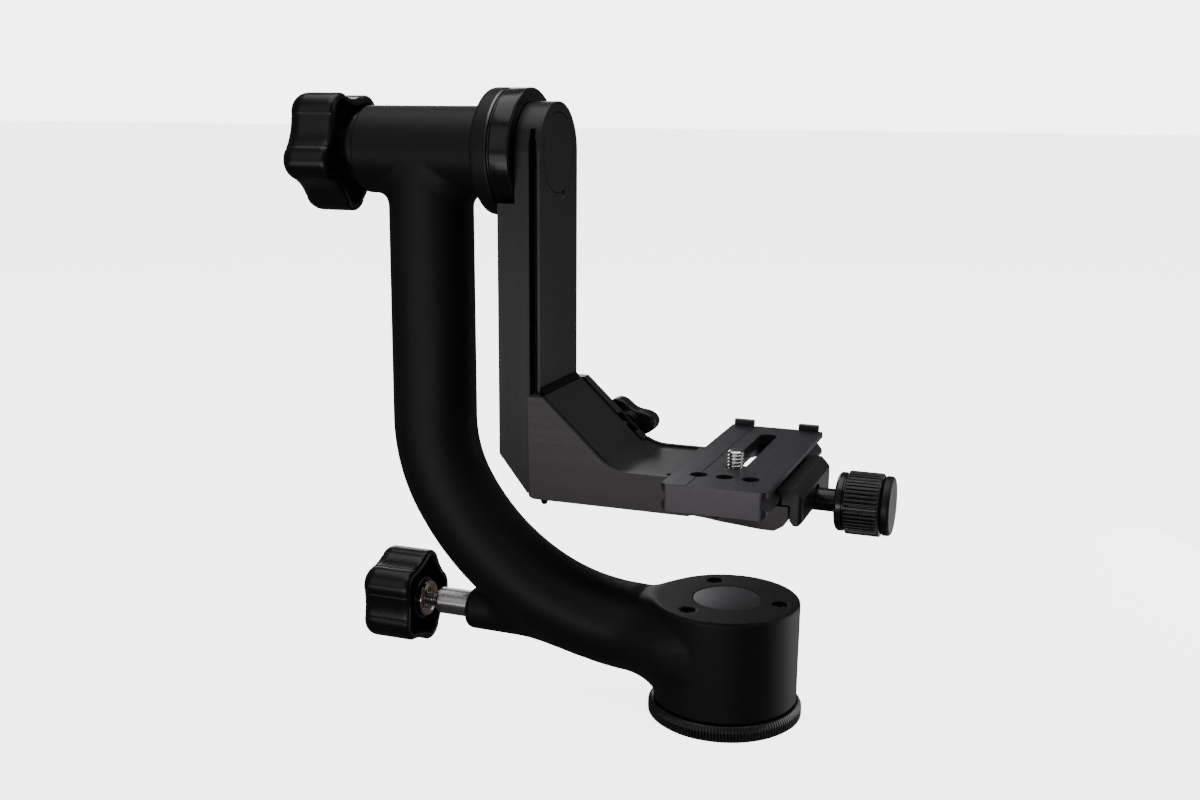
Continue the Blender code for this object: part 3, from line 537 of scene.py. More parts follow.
def flat_normals(me):
    """Corner normals: flats stay flat, rounded strips blend into them, facets of a curve are smoothed."""
    bm = bmesh.new()
    bm.from_mesh(me)
    bm.faces.ensure_lookup_table()
    area = [f.calc_area() for f in bm.faces]
    flat = [True] * len(area)
    for e in bm.edges:
        if len(e.link_faces) != 2:
            continue
        i, j = e.link_faces[0].index, e.link_faces[1].index
        ang = e.calc_face_angle(0.0)
        if math.radians(0.4) < ang < math.radians(24.0) and min(area[i], area[j]) > 0.2 * max(area[i], area[j]):
            flat[i] = flat[j] = False
    out = [None] * len(me.loops)
    lim = math.cos(math.radians(48.0))
    for v in bm.verts:
        fs = list(v.link_faces)
        for f in fs:
            n = Vector((0.0, 0.0, 0.0))
            if flat[f.index] and area[f.index] > 1.2e-6:
                n = f.normal.copy()
            else:
                for g in fs:
                    if g.normal.dot(f.normal) > lim:
                        n += g.normal * (area[g.index] ** 1.5) * (40.0 if flat[g.index] else 1.0)
                n = n.normalized() if n.length > 0 else f.normal.copy()
            for lp in f.loops:
                if lp.vert is v:
                    out[lp.index] = (n.x, n.y, n.z)
    bm.free()
    for p in me.polygons:
        p.use_smooth = True
    me.normals_split_custom_set(out)


def bevelled(name, bm, width, mat, body, replaces=(), angle=28.0, segments=3, after=()):
    """Real rounded edges on a cut solid, then any fine cuts, with normals that keep the flats flat."""
    ob = as_object(bm, name + "_raw")
    m = ob.modifiers.new("bev", "BEVEL")
    m.width = width * MM
    m.segments = segments
    m.limit_method = "ANGLE"
    m.angle_limit = math.radians(angle)
    m.use_clamp_overlap = True
    m.miter_outer = "MITER_ARC"
    me = evaluated(ob)
    bpy.data.objects.remove(ob, do_unlink=True)
    for kind, tool in after:
        cur = bpy.data.objects.new("c", me)
        COL.objects.link(cur)
        t = as_object(tool)
        m = cur.modifiers.new("b", "BOOLEAN")
        m.operation, m.solver, m.object = kind, "EXACT", t
        me2 = evaluated(cur)
        bpy.data.objects.remove(cur, do_unlink=True)
        bpy.data.objects.remove(t, do_unlink=True)
        me = me2
    mark_edges(me)
    flat_normals(me)
    me.name = name
    out = bpy.data.objects.new(name, me)
    COL.objects.link(out)
    me.materials.clear()
    me.materials.append(mat)
    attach(out, body)
    if replaces:
        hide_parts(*replaces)
    return out


CUT, ADD, AND = "DIFFERENCE", "UNION", "INTERSECT"

# =====================================================================
# implicit surface meshing, for the blended casting
# =====================================================================
def smin(a, b, k):
    h = np.clip(0.5 + 0.5 * (b - a) / k, 0.0, 1.0)
    return b + (a - b) * h - k * h * (1.0 - h)


def smax(a, b, k):
    return -smin(-a, -b, k)


def gradient(f, p, e=0.02):
    g = np.empty_like(p)
    for i in range(3):
        d = np.zeros(3)
        d[i] = e
        g[:, i] = f(p + d) - f(p - d)
    ln = np.linalg.norm(g, axis=1, keepdims=True)
    return g / np.maximum(ln, 1e-9)


def contour(f, lo, hi, h, block=8):
    """Dual contouring of f = 0 on a grid of step h, evaluated only near the surface."""
    lo = np.array(lo, float)
    nb = np.ceil((np.array(hi, float) - lo) / (h * block)).astype(int)
    size = nb * block + 1
    D = np.empty(size, np.float32)
    bi = np.stack(np.meshgrid(*[np.arange(k) for k in nb], indexing="ij"), -1).reshape(-1, 3)
    cen = lo + (bi + 0.5) * block * h
    dc = f(cen)
    near = np.abs(dc) < block * h * 0.5 * 1.75 + 1.5
    for (i, j, k), s in zip(bi[~near], np.sign(dc[~near])):
        D[i * block:(i + 1) * block + 1, j * block:(j + 1) * block + 1, k * block:(k + 1) * block + 1] = s * 9.0
    loc = np.stack(np.meshgrid(*[np.arange(block + 1)] * 3, indexing="ij"), -1).reshape(-1, 3)
    act = bi[near]
    for s in range(0, len(act), 600):
        part = act[s:s + 600]
        pts = lo + (part[:, None, :] * block + loc[None]) * h
        val = f(pts.reshape(-1, 3)).reshape(len(part), block + 1, block + 1, block + 1)
        for (i, j, k), v in zip(part, val):
            D[i * block:(i + 1) * block + 1, j * block:(j + 1) * block + 1, k * block:(k + 1) * block + 1] = v
    cells = np.array(size) - 1
    inside = D < 0
    cid = lambda c: (c[:, 0] * cells[1] + c[:, 1]) * cells[2] + c[:, 2]
    allq, allid, allp, alln = [], [], [], []
    for ax in range(3):
        a = [slice(None)] * 3
        b = [slice(None)] * 3
        a[ax], b[ax] = slice(0, -1), slice(1, None)
        ch = inside[tuple(a)] != inside[tuple(b)]
        o = [i for i in range(3) if i != ax]
        e = np.argwhere(ch)
        ok = np.ones(len(e), bool)
        for i in o:
            ok &= (e[:, i] > 0) & (e[:, i] < cells[i])
        e = e[ok]
        nxt = e.copy()
        nxt[:, ax] += 1
        va = D[e[:, 0], e[:, 1], e[:, 2]].astype(float)
        vb = D[nxt[:, 0], nxt[:, 1], nxt[:, 2]].astype(float)
        t0, t1 = np.zeros(len(e)), np.ones(len(e))
        base = lo + e * h
        step = np.zeros(3)
        step[ax] = h
        for _ in range(4):
            t = t0 + (t1 - t0) * np.clip(va / (va - vb), 0.02, 0.98)
            v = f(base + t[:, None] * step)
            same = (v < 0) == (va < 0)
            t0, va = np.where(same, t, t0), np.where(same, v, va)
            t1, vb = np.where(same, t1, t), np.where(same, vb, v)
        t = t0 + (t1 - t0) * np.clip(va / (va - vb + 1e-12), 0.0, 1.0)
        p = base + t[:, None] * step
        nrm = gradient(f, p)
        offs = [(0, 0), (-1, 0), (-1, -1), (0, -1)]
        quad = []
        for q in offs:
            c = e.copy()
            c[:, o[0]] += q[0]
            c[:, o[1]] += q[1]
            ids = cid(c)
            quad.append(ids)
            allid.append(ids)
            allp.append(p)
            alln.append(nrm)
        quad = np.stack(quad, 1)
        flip = inside[e[:, 0], e[:, 1], e[:, 2]]
        if ax == 1:
            flip = ~flip
        quad[~flip] = quad[~flip][:, ::-1]
        allq.append(quad)
    ids = np.concatenate(allid)
    P = np.concatenate(allp)
    N = np.concatenate(alln)
    uniq, inv = np.unique(ids, return_inverse=True)
    m = len(uniq)
    cnt = np.bincount(inv, minlength=m).astype(float)
    mass = np.stack([np.bincount(inv, P[:, i], m) for i in range(3)], 1) / cnt[:, None]
    q = np.einsum("ij,ij->i", N, P - mass[inv])
    A = np.zeros((m, 3, 3))
    for i in range(3):
        for j in range(3):
            A[:, i, j] = np.bincount(inv, N[:, i] * N[:, j], m)
        A[:, i, i] += 0.06
    B = np.stack([np.bincount(inv, N[:, i] * q, m) for i in range(3)], 1)
    X = mass + np.clip(np.linalg.solve(A, B[:, :, None])[:, :, 0], -0.6 * h, 0.6 * h)
    g = gradient(f, X)
    X = X - g * np.clip(f(X), -0.3 * h, 0.3 * h)[:, None]
    Q = np.searchsorted(uniq, np.concatenate(allq))
    return X, Q


def from_implicit(name, f, lo, hi, h, mat, body, replaces=(), keep=1.0):
    X, Q = contour(f, lo, hi, h)
    me = bpy.data.meshes.new(name)
    me.from_pydata([tuple(v) for v in X * MM], [], [tuple(int(i) for i in q) for q in Q])
    me.validate()
    if keep < 1.0:
        ob = bpy.data.objects.new("t", me)
        COL.objects.link(ob)
        d = ob.modifiers.new("d", "DECIMATE")
        d.ratio = keep
        me2 = evaluated(ob)
        bpy.data.objects.remove(ob, do_unlink=True)
        me = me2
        me.name = name
    bm = bmesh.new()
    bm.from_mesh(me)
    bmesh.ops.remove_doubles(bm, verts=bm.verts, dist=0.002 * MM)
    bmesh.ops.triangulate(bm, faces=[x for x in bm.faces if len(x.verts) > 4])
    bmesh.ops.recalc_face_normals(bm, faces=bm.faces)
    bm.to_mesh(me)
    bm.free()
    nv = len(me.vertices)
    co = np.zeros(nv * 3)
    me.vertices.foreach_get("co", co)
    g = gradient(f, co.reshape(-1, 3) / MM)
    nl = len(me.loops)
    vi = np.zeros(nl, np.int32)
    me.loops.foreach_get("vertex_index", vi)
    npoly = len(me.polygons)
    fn = np.zeros(npoly * 3)
    me.polygons.foreach_get("normal", fn)
    fn = fn.reshape(-1, 3)
    ls = np.zeros(npoly, np.int32)
    lt = np.zeros(npoly, np.int32)
    me.polygons.foreach_get("loop_start", ls)
    me.polygons.foreach_get("loop_total", lt)
    pl = np.repeat(np.arange(npoly), lt)
    order = np.concatenate([np.arange(s, s + t) for s, t in zip(ls, lt)])
    fl = np.empty((nl, 3))
    fl[order] = fn[pl]
    ln = g[vi]
    off = np.einsum("ij,ij->i", ln, fl) < 0.80
    ln[off] = fl[off]
    return wrap(name, me, mat, body, replaces, None, ln.tolist(), fixnormals=False)

# =====================================================================
# base
# =====================================================================
def base_knurl(th, r, h):
    if r < 27.0:
        return np.full_like(th, r)
    ph = (th * 150 / (2 * np.pi)) % 1.0
    g = np.clip(1.25 - 2.5 * np.abs(ph - 0.5), 0.0, 1.0)
    return np.minimum(r, 30.0 - 0.40 * (1.0 - g))


ring_prof = fillet([(9.6, 0.0), (28.8, 0.0, 0.25), (30.0, 0.85, 0.2)], 3)
ring_prof += [(30.0, z) for z in (1.3, 2.4, 3.4)]
ring_prof += fillet([(30.0, 3.6), (30.0, 4.15, 0.5), (28.45, 6.15, 0.5), (27.6, 6.2), (27.0, 6.2)], 4)
ring_prof += [(12.5, 6.2), (12.5, 2.6), (9.3, 2.6), (9.3, 0.3)]
lathe("base_ring", ring_prof, "Z", (0, 0), M_GLZ, "base", ["knurled_base"], n=1200, closed=True,
      shape=base_knurl, sharp=50.0)


def helix(pitch, depth, hand=1.0, r_lo=0.0, r_hi=99.0, h_lo=-1e9, h_hi=1e9):
    """Thread form that follows angle and height; fades at the ends of the threaded run."""
    def f(th, r, h):
        if not (r_lo <= r <= r_hi and h_lo <= h <= h_hi):
            return np.full_like(th, r)
        ph = (h / pitch - hand * th / (2 * np.pi)) % 1.0
        tri = 1.0 - np.abs(2.0 * ph - 1.0)
        fl = np.clip(1.35 * tri - 0.18, 0.0, 1.0)
        fade = min(1.0, (h - h_lo) / pitch + 0.15, (h_hi - h) / pitch + 0.15)
        return r - depth * fade * (1.0 - fl)
    return f


def steps(a, b, n):
    return [a + (b - a) * i / n for i in range(n + 1)]


soc = [(0, 18.4), (4.6, 16.6)] + [(4.75, z) for z in steps(16.2, 1.0, 110)] + [(5.0, 0.45), (8.8, 0.4), (9.0, 0.6)]
soc += [(9.0, 2.9), (12.2, 2.9), (12.2, 6.2), (11.0, 6.6), (11.0, 25.0), (10.4, 25.6), (10.4, 32.4), (11.0, 33.0), (11.0, 39.5),
        (2.6, 39.5), (2.6, 29.5), (0, 29.5)]
lathe("spindle_body", soc, "Z", (0, 0), M_STEELZ, "base", ["pan_spindle"], n=72,
      shape=helix(1.5875, 0.68, 1.0, 4.7, 4.8, 0.9, 16.3))

# =====================================================================
# gooseneck casting
# =====================================================================
POST_X, BEND_Z = -124.35, 108.26
R1, T1 = 61.92, 0.524
R2, T2 = 96.41, 0.639
FL, FS = 32.45, 0.06


def head(phi):
    return np.array([math.sin(phi), -math.cos(phi)])


PH0 = -math.pi / 2
PH1 = PH0 + T1
PH2 = PH1 + T2
PH3 = -FS
R3 = FL / (PH3 - PH2)
CC1 = np.array([POST_X, BEND_Z]) - R1 * head(PH0)
PP1 = CC1 + R1 * head(PH1)
CC2 = PP1 - R2 * head(PH1)
PP2 = CC2 + R2 * head(PH2)
CC3 = PP2 - R3 * head(PH2)
PP3 = CC3 + R3 * head(PH3)


def tube_field(x, y, z):
    """Bent tube: the nearest of two straights and three arcs of its centreline."""
    big = 1e3
    best = np.full_like(x, big)
    s = np.zeros_like(x)
    ru = np.full_like(x, 16.9)
    rv = np.full_like(x, 16.9)
    dz = np.clip(BEND_Z - z, 0.0, None)
    du = np.clip(z - TZ, 0.0, None)
    d = np.hypot(np.hypot(x - POST_X, dz), du)
    k = np.clip((z - BEND_Z) / (TZ - BEND_Z), 0, 1)
    rr = 16.9 - 0.25 * k
    take = np.abs(d) < best
    best = np.where(take, d, best)
    s = np.where(take, np.where(dz + du > 0, d, x - POST_X), s)
    ru = np.where(take, rr, ru)
    rv = np.where(take, rr, rv)
    for cc, R, a0, a1, last in ((CC1, R1, PH0, PH1, False), (CC2, R2, PH1, PH2, False), (CC3, R3, PH2, PH3, True)):
        vx, vz = x - cc[0], z - cc[1]
        phi = np.arctan2(vx, -vz)
        pc = np.clip(phi, a0, a1)
        qx, qz = cc[0] + R * np.sin(pc), cc[1] - R * np.cos(pc)
        d = np.hypot(x - qx, z - qz)
        take = d < best - 1e-9
        best = np.where(take, d, best)
        s = np.where(take, d, s)
        t = (pc - a0) / (a1 - a0) if last else np.zeros_like(x)
        ru = np.where(take, 16.9 + 0.3 * t, ru)
        rv = np.where(take, 16.9 + 1.6 * t * t, rv)
    dx, dzz = math.cos(PH3), math.sin(PH3)
    L = 34.0
    t = np.clip((x - PP3[0]) * dx + (z - PP3[1]) * dzz, 0, L)
    qx, qz = PP3[0] + t * dx, PP3[1] + t * dzz
    d = np.hypot(x - qx, z - qz)
    take = d < best - 1e-9
    s = np.where(take, d, s)
    ru = np.where(take, 17.2, ru)
    rv = np.where(take, 18.5 + 0.10 * t, rv)
    s = np.abs(s)
    q = np.sqrt((s / ru) ** 2 + (y / rv) ** 2)
    return (q - 1.0) * 0.5 * (ru + rv) * np.where(q < 1, 1.0, 1.0)


def arm_field(p):
    x, y, z = p[:, 0], p[:, 1], p[:, 2]
    tube = tube_field(x, y, z)
    # barrel that turns on the base, widened where the tube runs in
    rho = np.hypot(x, y)
    rb = 27.9 + 0.3 * np.clip((z - 6.7) / 39.0, 0, 1)
    wall = rho - rb
    kz = 7.0 + 13.0 * np.clip((z - 9.0) / 14.0, 0, 1) - 12.0 * np.clip((z - 33.0) / 9.0, 0, 1)
    q = np.clip((6.0 - x) / 32.0, 0.0, 1.0)
    kz = 0.6 + (kz - 0.6) * q * q * (3.0 - 2.0 * q)
    body = smin(tube, wall, kz)
    t = np.clip((rho - 27.2) / 9.0, 0.0, 1.0)
    top = 46.5 - (0.9 + 0.006 * y * y) * t * t * (3.0 - 2.0 * t) + 0.30 * np.clip(-33.0 - x, 0.0, None) ** 1.3
    low = np.where((x > -52.0), 1.0, 0.0)
    body = np.where(x > -60.0, smax(body, z - top, 1.3), tube)
    body = np.where(low > 0, smax(body, 6.7 - z, 0.9), body)
    body = np.where(x < -75.0, tube, body)
    # cross tube and flange
    ra = np.hypot(y, z - TZ)
    cross = smax(smax(ra - 17.1, -151.0 - x, 1.5), x + 90.5, 0.2)
    side = np.sqrt(np.clip(1.0 - (y / 17.6) ** 2, 0.0, 1.0))
    arm = smin(body, cross, 0.05 + 7.0 * side * np.clip((TZ - 3.0 - z) / 9.0, 0.0, 1.0))
    fl = smax(ra - 24.1, -96.8 - x, 2.2)
    ch = ((ra - 24.1) + (x + 89.9) + 0.75) * 0.7071
    fl = np.maximum(np.maximum(fl, x + 89.9), ch)
    arm = smin(arm, fl, 2.6)
    # lock boss, an upright stadium running into the bend
    boss = np.hypot(y, z - np.clip(z, LZ - 1.6, LZ - 1.2)) - (8.1 + 0.5 * np.clip((x + 109.8) / 50.0, 0, 1))
    boss = smax(smax(boss, -109.8 - x, 3.4), x + 62.0, 1.0)
    arm = smin(arm, boss, 6.0)
    # machined recesses and bores
    arm = smax(arm, -np.maximum(rho - 13.4, 45.05 - z), 0.25)
    for a in (2.0, 119.0, 239.0):
        cx, cy = 20.5 * math.cos(math.radians(a)), 20.5 * math.sin(math.radians(a))
        arm = smax(arm, -np.maximum(np.hypot(x - cx, y - cy) - 3.1, 42.3 - z), 0.35)
    arm = np.maximum(arm, -np.maximum(rho - 24.5, z - 40.5))
    arm = np.maximum(arm, -np.maximum(rho - 12.2, z - 49.0))
    arm = np.maximum(arm, -np.maximum(ra - 12.5, x + 80.0))
    arm = np.maximum(arm, -np.maximum(np.hypot(y, z - LZ) - 5.8, np.abs(x + 70.0) - 50.0))
    return arm


STEP = 0.70
from_implicit("arm_casting", arm_field, (-153.0, -31.0, 4.0), (31.0, 31.0, 241.0), STEP, M_COAT, "arm", ["gooseneck_arm"])

# inlay disc and the three screws round it
lathe("cap_inlay", fillet([(0, 45.35), (13.1, 45.35, 0.1), (13.1, 46.42, 0.22), (0, 46.42)], 3), "Z", (0, 0), M_CAPZ, "arm",
      ["base_cap_disc"], n=160)


def hexed(r_hex, rot=0.0):
    def f(th, r, h):
        if abs(r - r_hex) > 1e-6:
            return np.full_like(th, r)
        a = ((th + rot) % (math.pi / 3)) - math.pi / 6
        return r_hex * math.cos(math.pi / 6) / np.cos(a) * 1.05
    return f


for tag, a in (("a", 2.0), ("b", 119.0), ("c", 239.0)):
    cx, cy = 20.5 * math.cos(math.radians(a)), 20.5 * math.sin(math.radians(a))
    pr = [(0, 34.6), (1.6, 34.6), (1.6, 42.6)] + fillet([(1.6, 42.6), (2.8, 42.6, 0.1), (2.8, 45.4, 0.35), (1.5, 45.4, 0.12), (1.25, 45.15)], 3)[1:]
    pr += [(1.25, 43.8), (0, 43.55)]
    lathe("cap_screw_head_" + tag, pr, "Z", (cx, cy), M_OXIDE, "arm", ["cap_screw_" + tag], n=48, shape=hexed(1.25, 0.3 * (a > 100)))

# =====================================================================
# pan lock
# =====================================================================
LA = (0.0, LZ)
lathe("lock_sleeve", fillet([(4.2, -80.0), (4.2, -123.3), (4.45, -123.6, 0.05), (4.85, -123.6, 0.2), (5.5, -122.6, 0.3), (5.5, -80.0)], 3),
      "X", LA, M_SLEEVE, "arm", ["pan_lock_sleeve"], n=144, closed=True)
stud = [(0, -143.0), (2.8, -143.0), (3.3, -142.2)] + [(3.3, x) for x in steps(-142.0, -118.0, 240)] + [(3.9, -117.6), (3.9, -34.4), (3.4, -33.9), (0, -33.9)]
lathe("lock_stud", stud, "X", LA, M_SLEEVE, "pan_lock", ["pan_lock_stud"], n=64, shape=helix(1.25, 0.75, 1.0, 3.25, 3.35, -142.0, -118.0))
lathe("lock_insert", fillet([(3.55, -144.0), (6.3, -144.0, 0.2), (6.5, -131.0), (6.5, -130.6), (7.6, -130.6, 0.1), (7.6, -129.3, 0.5), (7.0, -128.6, 0.3),
                             (6.0, -128.5, 0.1), (5.8, -128.9, 0.1), (5.3, -128.9, 0.1), (5.1, -128.6, 0.1), (4.7, -128.6, 0.1), (3.55, -130.2)], 3), "X", LA, M_BRASS, "pan_lock", ["pan_knob_insert"], n=144, closed=True)


def lobe_radius(th, rc, a, rv, lobes, phase):
    """Outline of a moulded grip: round lobes of radius a out to rc, joined by tangent hollows down to rv."""
    h = math.pi / lobes
    u = np.abs((th - math.radians(phase) + h) % (2 * h) - h)
    c = rc - a
    b = (c * c + rv * rv - 2 * c * rv * math.cos(h) - a * a) / (2 * (a - rv + c * math.cos(h)))
    D = rv + b
    k = a / (a + b)
    tx, ty = c + (D * math.cos(h) - c) * k, D * math.sin(h) * k
    crest = c * np.cos(u) + np.sqrt(np.clip(a * a - (c * np.sin(u)) ** 2, 0.0, None))
    hollow = D * np.cos(h - u) - np.sqrt(np.clip(b * b - (D * np.sin(h - u)) ** 2, 0.0, None))
    ta = math.atan2(ty, tx)
    r = np.where(u <= ta, crest, hollow)
    return r - 0.26 * np.exp(-((u - ta - 0.3 / rc) * rc / 0.42) ** 2)


def star_loops(stations, zc, lobes, rc, a, rv, phase, n):
    """Loops for (x, inset, kind) stations; an inset is measured square to the outline."""
    th = 2 * np.pi * np.arange(n) / n
    r = lobe_radius(th, rc, a, rv, lobes, phase)
    py, pz = r * np.cos(th), r * np.sin(th)
    ty, tz = np.roll(py, -1) - np.roll(py, 1), np.roll(pz, -1) - np.roll(pz, 1)
    ln = np.hypot(ty, tz)
    ny, nz = tz / ln, -ty / ln
    loops = []
    for x, v, kind in stations:
        if kind == "dot":
            loops.append([np.array([x, 0.0, zc])])
        elif kind == "round":
            loops.append([np.array([x, v * math.cos(t), zc + v * math.sin(t)]) for t in th])
        elif kind == "mix":
            k, rr = v
            qy, qz = py - ny * k, pz - nz * k
            q = np.hypot(qy, qz)
            g = 0.5 + 0.5 * rr / q
            loops.append([np.array([x, qy[i] * g[i], zc + qz[i] * g[i]]) for i in range(n)])
        else:
            loops.append([np.array([x, py[i] - ny[i] * v, zc + pz[i] - nz[i] * v]) for i in range(n)])
    return loops


def lobed(name, x0, x1, rc, a, rv, phase, zc, wall, round_x, round_r, hub_r, hub_x, bore_r, bore_x, body, node, n=360):
    cr = 0.42 * rv
    st = [(x0 + 0.7, None, "dot"), (x0 + 0.7, cr - 0.9, "round"), (x0 + 0.62, cr - 0.35, "round"), (x0 + 0.1, cr, "round"), (x0, cr + 0.3, "round"),
          (x0, (round_r, cr + 1.0), "mix"), (x0, round_r, "o")]
    for k in range(1, 11):
        t = math.pi / 2 * k / 10
        st.append((x0 + round_x * (1 - math.cos(t)), round_r * (1 - math.sin(t)), "o"))
    for x in steps(x0 + round_x + 0.8, x1 - 2.4, 5):
        st.append((x, 0.0, "o"))
    R = 1.6
    for k in range(1, 8):
        t = math.pi / 2 * k / 7
        st.append((x1 - R * (1 - math.sin(t)), R * (1 - math.cos(t)), "o"))
    st += [(x1, wall - 0.35, "o"), (x1 - 0.12, wall - 0.12, "o"), (x1 - 0.35, wall, "o"), (x1 - 3.0, wall + 0.05, "o"), (x0 + 6.2, wall + 0.35, "o"),
           (x0 + 5.3, wall + 0.8, "o"), (x0 + 5.0, wall + 1.4, "o")]
    st += [(x0 + 5.0, (wall + 1.6, hub_r + 1.4), "mix"), (x0 + 5.0, hub_r + 1.4, "round"), (x0 + 5.4, hub_r + 0.6, "round"), (x0 + 6.2, hub_r + 0.35, "round"),
           (hub_x - 0.5, hub_r, "round"), (hub_x - 0.12, hub_r - 0.14, "round"), (hub_x, hub_r - 0.5, "round"),
           (hub_x, bore_r + 0.2, "round"), (hub_x - 0.2, bore_r, "round"), (bore_x, bore_r, "round"), (bore_x, None, "dot")]
    loops = star_loops(st, zc, 5, rc, a, rv, phase, n)
    v, f = skin(loops)
    return put(name, v, f, M_PLAST, body, [node], 40.0)


lobed("pan_grip", -151.9, -129.8, 20.1, 7.8, 16.9, 71.3, LZ, 2.6, 5.0, 4.6, 9.0, -131.0, 6.8, -145.5, "pan_lock", "pan_knob", n=720)

# =====================================================================
# tilt axis: disc, washers, knob
# =====================================================================
# Thin lighter ring over the flange's chamfer: painted highlight along that edge.
lathe("flange_rim", [(22.9, -90.9), (24.04, -90.80), (24.09, -90.70), (23.50, -89.90), (23.38, -89.86), (22.9, -89.86)], "X", TA, M_CHAMFER_HIGHLIGHT, "arm", n=200, closed=True)
lathe("friction_ring", fillet([(8.3, -89.6), (23.1, -89.6, 0.1), (23.3, -89.4, 0.05), (23.3, -89.0, 0.05), (23.1, -88.8, 0.1), (8.3, -88.8)], 2),
      "X", TA, M_OXIDE, "swing", ["friction_washer"], n=160, closed=True)
lathe("tilt_drum", fillet([(8.3, -88.5), (23.6, -88.5, 0.1), (24.1, -88.0, 0.25), (24.1, -81.1, 0.25), (23.5, -80.5, 0.2), (8.3, -80.5)], 4),
      "X", TA, M_GLX, "swing", ["tilt_disc"], n=200, closed=True)
lathe("thrust_ring", fillet([(4.3, -154.3), (14.5, -154.3, 0.2), (15.0, -153.8, 0.2), (15.0, -151.8, 0.2), (14.6, -151.3, 0.2), (4.3, -151.3)], 3),
      "X", TA, M_OXIDE, "tilt_brake", ["tilt_thrust_washer"], n=120, closed=True)
lathe("tilt_insert", fillet([(4.2, -171.0), (6.5, -171.0, 0.2), (6.5, -155.1, 0.2), (6.2, -154.8, 0.1), (4.5, -154.8, 0.1), (4.2, -155.1)], 3),
      "X", TA, M_BRASS, "tilt_lock", ["tilt_knob_insert"], n=72, closed=True)
lobed("tilt_grip", -178.6, -157.6, 24.6, 8.2, 19.7, 51.2, TZ, 2.8, 6.4, 5.2, 9.2, -154.7, 6.8, -172.5, "tilt_lock", "tilt_knob", n=720)

# =====================================================================
# swing rail
# =====================================================================
def stadium(w, zc, z0, n=72):
    pts = [(w, z0), (w, zc)]
    for k in range(1, n):
        a = math.pi * k / n
        pts.append((w * math.cos(a), zc + w * math.sin(a)))
    return pts + [(-w, zc), (-w, z0)]


RX0, RXR, RXG, RXL, RX1 = -87.3, -80.15, -74.4, -71.1, -70.1
rail_xy = [(RX0, -19.0), (RXG, -19.0), (RXG, -16.0), (RXL - 3.0, -16.0), (RXL, -19.0), (RX1, -19.0), (RX1, 19.0), (RXL, 19.0),
           (RXL - 3.0, 16.0), (RXG, 16.0), (RXG, 19.0), (RX0, 19.0)]
rail_bm = boolean(prism_bm(rail_xy, "Z", 85.6, TZ + 25.0), [
    (ADD, prism_bm([(RXG - 1.0, -19.0), (RX1, -19.0), (RX1, 19.0), (RXG - 1.0, 19.0)], "Z", TZ + 9.1, TZ + 25.0)),
    (CUT, prism_bm([(RXG, -20.0), (-71.9, -20.0), (-71.9, -18.4), (-72.3, -17.6), (-72.3, -13.4), (RXG, -13.4)], "Z", 80.0, TZ + 9.1)),
    (CUT, prism_bm([(RXG, 20.0), (RXG, 13.4), (-72.3, 13.4), (-72.3, 17.6), (-71.9, 18.4), (-71.9, 20.0)], "Z", 80.0, TZ + 9.1)),
    (AND, prism_bm(stadium(19.0, TZ, 80.0), "X", -100.0, -60.0)),
    (CUT, cyl_bm("X", -100.0, RXR, 26.4, TA, 160)),
    (CUT, prism_bm([(RX0 - 1.0, 101.6), (RX0 - 1.0, 82.6), (-73.3, 82.6)], "Y", -25.0, 25.0)),
    (CUT, cyl_bm("X", -90.0, -75.0, 6.3, TA, 48)),
    (CUT, cyl_bm("X", -75.2, -60.0, 7.8, TA, 64)),
    (CUT, cyl_bm("X", -71.5, -60.0, 15.2, TA, 144)),
    (CUT, cyl_bm("X", -71.2, -69.6, 1.7, (3.75, TZ - 14.9), 40, 3.1)),
    (CUT, cyl_bm("Z", 80.0, 98.0, 1.6, (-72.4, -9.5), 24))])
bevelled("rail_body", rail_bm, 0.28, M_RAIL, "swing", ["swing_rail"])

cap_bm = cyl_bm("X", -71.2, -70.12, 14.9, TA, 144)
bevelled("rail_inlay", cap_bm, 0.16, M_CAPX, "swing", ["rail_cap_disc"], segments=2)
lathe("stop_screw", fillet([(0, 79.0), (0.9, 79.0, 0.3), (2.5, 82.6, 0.5), (2.9, 84.9, 0.1), (1.3, 84.9), (1.3, 96.5), (0, 96.5)], 4), "Z",
      (-72.4, -9.5), M_OXIDE, "swing", ["rail_stop_screw"], n=48)
lathe("axle_bolt", [(0, -92.0), (2.3, -92.0), (2.3, -74.9), (7.4, -74.9), (7.4, -72.2), (7.0, -71.8), (2.0, -71.8), (2.0, -73.6), (0, -73.6)],
      "X", TA, M_OXIDE, "swing", ["axle_screw"], n=48, shape=hexed(2.0))

# =====================================================================
# platform bracket, rail jaw and its lock
# =====================================================================
KX, KZ = -51.2, 105.0
slope = [(-67.0, 125.0), (-54.4, 112.6), (-43.6, 103.3), (-40.0, 100.9), (-36.6, 99.6), (-34.0, 99.4)]


def soft(points, steps_=5):
    """Round the corners marked with a third number on a closed outline."""
    n = len(points)
    out = []
    for i, p in enumerate(points):
        if len(p) < 3 or p[2] <= 0:
            out.append((p[0], p[1]))
            continue
        out += fillet([points[i - 1], p, points[(i + 1) % n]], steps_)[1:-1]
    return out


